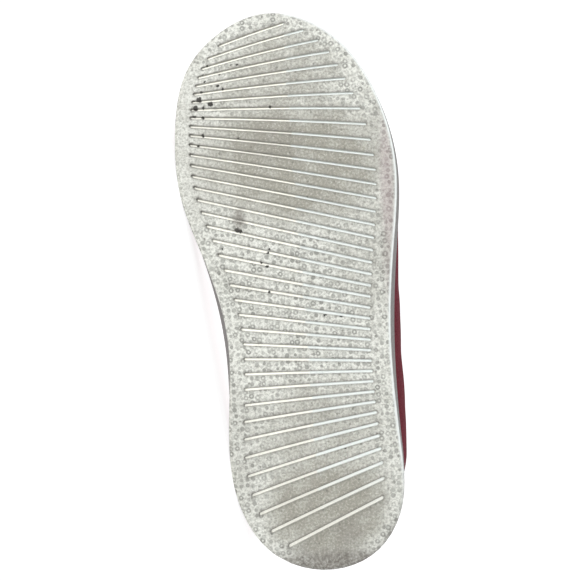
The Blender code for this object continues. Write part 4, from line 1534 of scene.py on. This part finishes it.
# The heel tape has a row of stitches along each side, one column in.
for k in (1, 9):
    line = np.array([base[k] + turn[k] * 0.75 for base, turn in heel_rows[3:-3]])
    turns = np.array([turn[k] for base, turn in heel_rows[3:-3]])
    stitch_along(line, turns, False)
stitches = new_piece("stitches", np.concatenate(stitch_points), stitch_faces, 80.0)
keep_values(stitches, "shoe_mm", np.concatenate(stitch_points))

# %% The thread
thread, tree, shader = new_material("bonded_polyester_thread")
mm = add(tree, "Attribute", attribute_name="shoe_mm").outputs["Vector"]
twist = add(tree, "TexNoise", {"Vector": mm, "Scale": 2.5, "Detail": 2.0})
strand = add(
    tree, "Mix",
    {FACTOR: twist.outputs["Fac"], FIRST: colour("#4A141F"), SECOND: colour("#8A3A47")},
    data_type="RGBA",
)
tree.links.new(strand.outputs[MIXED], shader.inputs["Base Color"])
shader.inputs["Roughness"].default_value = 0.5
finish_with(stitches, thread)
print("stitches", len(stitch_points))

# %% [markdown]
# ## The insole
#
# The insole is a 4 mm foam sheet with cloth on it, cut a little smaller than the room inside and
# dropped in. Its rim keeps its full height, and the foot has pressed a shallow dish under the heel
# and the ball. It is drawn as rings for its sides and a grid for its top.

# %% Rings round the insole
INSOLE_THICKNESS = 4.0
INSOLE_CLEARANCE = 0.6
INSOLE_STEPS = 24
insole_inset = LEDGE + WALL + INSOLE_CLEARANCE
insole_rings = []
# Each ring: how far it moves in, and how high it lies above the footbed.
for move, lift in ((0.0, 0.0), (0.0, 2.8), (0.36, 3.64), (1.2, INSOLE_THICKNESS)):
    plan = feather_plan(insole_inset + move)
    insole_rings.append(np.column_stack([plan, footbed_height(plan[:, 1]) + GAP + lift]))
rim_plan = insole_rings[-1]
ring_size = len(rim_plan)
print("insole rings", len(insole_rings), "of", ring_size, "points")



def across(ring_points, steps):
    """Points in straight lines across a ring, from its inner side to its outer side."""
    half = len(ring_points) // 2
    one = ring_points[: half + 1]
    other = np.concatenate([ring_points[:1], ring_points[: half - 1 : -1]])
    t = np.linspace(0.0, 1.0, steps + 1)[:, None, None]
    return one * (1.0 - t) + other * t


# %% Press a dish under the heel and the ball
HEEL_DISH = 1.1
BALL_DISH = 1.2
top = across(rim_plan, INSOLE_STEPS)
t = np.linspace(0.0, 1.0, INSOLE_STEPS + 1)[:, None]
room = np.linalg.norm(top[-1] - top[0], axis=1)[None, :] * np.minimum(t, 1.0 - t)
flat_points = top.reshape(-1, 3)
pressed = HEEL_DISH * patch(flat_points, 0.0, 42.0, 30.0, 44.0)
pressed = np.maximum(pressed, BALL_DISH * patch(flat_points, 4.0, 186.0, 42.0, 40.0, 10.0))
pressed = pressed.reshape(top.shape[:2]) * ease(room, 0.0, 12.0)
top[..., 2] -= pressed
base = across(insole_rings[0], INSOLE_STEPS)
print("deepest dish", round(float(pressed.max()), 2), "mm")


# %% Join the insole
def closing_lines(ring_start, new_start):
    """Vertex numbers of the lines across a ring: its own at both ends, new ones between."""
    half = ring_size // 2
    one = ring_start + np.arange(half + 1)
    other = ring_start + np.concatenate([[0], np.arange(ring_size - 1, half - 1, -1)])
    lines = [one]
    for n in range(INSOLE_STEPS - 1):
        line = new_start + n * (half + 1) + np.arange(half + 1)
        line[0], line[-1] = one[0], one[-1]
        lines.append(line)
    return [*lines, other]


insole_faces = []
for n in range(len(insole_rings) - 1):
    low = np.arange(ring_size) + n * ring_size
    insole_faces += quads(low, low + ring_size, closed=True)
top_start = len(insole_rings) * ring_size
base_start = top_start + (INSOLE_STEPS - 1) * (ring_size // 2 + 1)
top_lines = closing_lines(top_start - ring_size, top_start)
base_lines = closing_lines(0, base_start)
for low, high in zip(top_lines, top_lines[1:]):
    insole_faces += quads(low, high)
for low, high in zip(base_lines, base_lines[1:]):
    insole_faces += quads(high, low)
insole_points = np.concatenate([*insole_rings, *top[1:-1], *base[1:-1]])
insole = new_piece("insole_pad", insole_points, insole_faces, 50.0)
keep_values(insole, "shoe_mm", insole_points)
keep_values(insole, "pressed", patch(insole_points, 0.0, 42.0, 34.0, 48.0))

# %% The insole's cloth
cloth, tree, shader = new_material("plain_weave_insole_cloth")
mm = add(tree, "Attribute", attribute_name="shoe_mm").outputs["Vector"]
threads = []
for degrees in (20.0, 110.0):
    turned = add(tree, "Mapping", {"Vector": mm, "Rotation": (0.0, 0.0, math.radians(degrees))})
    wave = add(
        tree, "TexWave",
        {"Vector": turned.outputs["Vector"], "Scale": 0.31, "Distortion": 0.5, "Detail": 2.0},
    )
    threads.append(wave.outputs["Fac"])
weave = add(tree, "Math", {0: threads[0], 1: threads[1]}, operation="MAXIMUM").outputs[0]
stain = add(tree, "TexNoise", {"Vector": mm, "Scale": 0.06, "Detail": 4.0})
stained = add(
    tree, "MapRange",
    {"Value": stain.outputs["Fac"], "From Min": 0.4, "From Max": 0.7, "To Max": 0.5},
)
pressed_here = add(tree, "Attribute", attribute_name="pressed").outputs["Fac"]
footprint = add(tree, "Math", {0: pressed_here, 1: 0.4}, operation="MULTIPLY")
woven = add(
    tree, "Mix",
    {FACTOR: weave, FIRST: colour("#6E6863"), SECOND: colour("#9A948D")},
    data_type="RGBA",
).outputs[MIXED]
for amount, code in ((stained.outputs[0], "#7B726B"), (footprint.outputs[0], "#5E5751")):
    over = add(tree, "Mix", {FACTOR: amount, FIRST: woven, SECOND: colour(code)}, data_type="RGBA")
    woven = over.outputs[MIXED]
tree.links.new(woven, shader.inputs["Base Color"])
shader.inputs["Roughness"].default_value = 0.9
shader.inputs["Specular IOR Level"].default_value = 0.25
raised = add(tree, "Math", {0: weave, 1: 0.15}, operation="MULTIPLY")
bump = add(tree, "Bump", {"Height": raised.outputs[0], "Distance": 0.001, "Strength": 0.8})
tree.links.new(bump.outputs["Normal"], shader.inputs["Normal"])
finish_with(insole, cloth)
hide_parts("insole")

# %% [markdown]
# ## Floor and light
#
# A studio sweep is a floor that turns up into a wall with no corner. Here it turns up all round, as
# a shallow bowl, so the shoe can be looked at from any side. The bowl's paper glows and gives a soft
# light of its own, and one lamp stands in front of the tread, a little towards the toe: it lights the
# floors of the grooves and leaves a thin shade under each one's toe-side edge. A second one hangs
# over the shoe and keeps the floor pale, and a weak third one lifts the felt from behind.

# %% The sweep
SWEEP_FLAT = 1.3
SWEEP_TURN = 0.9
SWEEP_HEIGHT = 1.5
SWEEP_SIDES = 96
SWEEP_TURN_STEPS = 13
turns = np.radians(np.linspace(0.0, 90.0, SWEEP_TURN_STEPS))
sweep_profile = [(0.35, 0.0), (0.8, 0.0)]
sweep_profile += [
    (SWEEP_FLAT + SWEEP_TURN * math.sin(a), SWEEP_TURN * (1.0 - math.cos(a))) for a in turns
]
sweep_profile.append((SWEEP_FLAT + SWEEP_TURN, SWEEP_HEIGHT))
sweep_points = [(0.0, 0.0, 0.0)]
for radius, height in sweep_profile:
    for k in range(SWEEP_SIDES):
        a = math.tau * k / SWEEP_SIDES
        sweep_points.append((radius * math.cos(a), radius * math.sin(a), height))
sweep_faces = [(0, 1 + k, 1 + (k + 1) % SWEEP_SIDES) for k in range(SWEEP_SIDES)]
for n in range(len(sweep_profile) - 1):
    low = 1 + n * SWEEP_SIDES
    for k in range(SWEEP_SIDES):
        j = (k + 1) % SWEEP_SIDES
        sweep_faces.append((low + k, low + SWEEP_SIDES + k, low + SWEEP_SIDES + j, low + j))
sweep_data = bpy.data.meshes.new("studio_sweep")
sweep_data.from_pydata(sweep_points, [], sweep_faces)
sweep_data.shade_smooth()
sweep = bpy.data.objects.new("studio_sweep", sweep_data)
bpy.context.scene.collection.objects.link(sweep)
print("sweep", len(sweep_faces), "faces")

# %% The sweep's paper
# The paper glows a little, so that it stays pale. It glows less on the side that the tread faces,
# where a dark room keeps the grooves' shade crisp.
GLOW_IN_FRONT = 0.16
GLOW_BEHIND = 0.84
paper, tree, shader = new_material("glowing_white_paper")
place = add(tree, "NewGeometry").outputs["Position"]
place = add(tree, "SeparateXYZ", {"Vector": place}).outputs["Y"]
glow = add(
    tree, "MapRange",
    {"Value": place, "From Min": -0.9, "From Max": -0.05, "To Min": GLOW_IN_FRONT,
     "To Max": GLOW_BEHIND},
)
tooth = add(tree, "TexNoise", {"Scale": 40.0, "Detail": 3.0})
sheet = add(
    tree, "Mix",
    {FACTOR: tooth.outputs["Fac"], FIRST: colour("#AEAEAE"), SECOND: colour("#B2B2B2")},
    data_type="RGBA",
)
tree.links.new(sheet.outputs[MIXED], shader.inputs["Base Color"])
tree.links.new(glow.outputs[0], shader.inputs["Emission Strength"])
shader.inputs["Emission Color"].default_value = (1.0, 1.0, 1.0, 1.0)
shader.inputs["Roughness"].default_value = 0.9
shader.inputs["Specular IOR Level"].default_value = 0.1
sweep_data.materials.append(paper)
print("paper glows", GLOW_IN_FRONT, "to", GLOW_BEHIND)

# %% The room's own light
world = bpy.data.worlds.new("dim_room")
bpy.context.scene.world = world
world.use_nodes = True
room_light = world.node_tree.nodes["Background"].inputs
room_light["Color"].default_value = (0.9, 0.95, 1.0, 1.0)
room_light["Strength"].default_value = 0.18
print("the room's light has strength", round(room_light["Strength"].default_value, 2))

# %% Lamps
middle_of_shoe = Vector((cad_box[0] + cad_box[1])) / 2.0


def lamp(name, direction, distance, size, power):
    """A large soft lamp that looks at the middle of the shoe."""
    data = bpy.data.lights.new(name, "AREA")
    data.shape = "DISK"
    data.size = size
    data.energy = power
    item = bpy.data.objects.new(name, data)
    bpy.context.scene.collection.objects.link(item)
    direction = Vector(direction).normalized()
    item.location = middle_of_shoe + direction * distance
    item.rotation_euler = direction.to_track_quat("Z", "Y").to_euler()
    item.visible_camera = False
    print(name, power, "W")


lamp("key_lamp", (-0.34, -0.93, 0.12), 1.3, 0.35, 10.0)
lamp("top_lamp", (0.05, -0.12, 0.99), 1.3, 0.8, 9.0)
lamp("back_fill", (0.25, 0.85, 0.55), 1.4, 0.9, 2.0)
bpy.context.scene.view_settings.view_transform = "Standard"

# %% [markdown]
# ## The camera
#
# The camera looks square at the tread, but for a few degrees from the shoe's outer side, and is
# rolled so that the toe is at the top. It is set in the shoe's own axes, so it keeps its angle to
# the shoe however the shoe lies.

# %% Camera
LENS = 57.0
DISTANCE = 436.0
SIDE_ANGLE = math.radians(4.5)
ROLL = math.radians(4.6)
# The place that the camera looks at, in the shoe's own millimetres.
AIM = np.array([6.1, 134.8, 0.0])
away = np.array([-math.sin(SIDE_ANGLE), 0.0, -math.cos(SIDE_ANGLE)])
image_up = np.array([-math.sin(ROLL), math.cos(ROLL), 0.0])
back_axis = Vector(away @ axes).normalized()
right_axis = Vector(image_up @ axes).cross(back_axis).normalized()
up_axis = back_axis.cross(right_axis)
camera_data = bpy.data.cameras.new("camera")
camera_data.lens = LENS
camera_data.sensor_width = 36.0
camera_data.clip_start = 0.01
camera = bpy.data.objects.new("camera", camera_data)
bpy.context.scene.collection.objects.link(camera)
turned = Matrix((right_axis, up_axis, back_axis)).transposed().to_4x4()
place = Vector(lay_down(AIM + away * DISTANCE))
camera.matrix_world = Matrix.Translation(place) @ turned
bpy.context.scene.camera = camera
print("camera", round(place.z * 1000), "mm above the floor")

# %% Sizes, and the end
print("cad box", [[round(v * 1000, 1) for v in c] for c in cad_box])
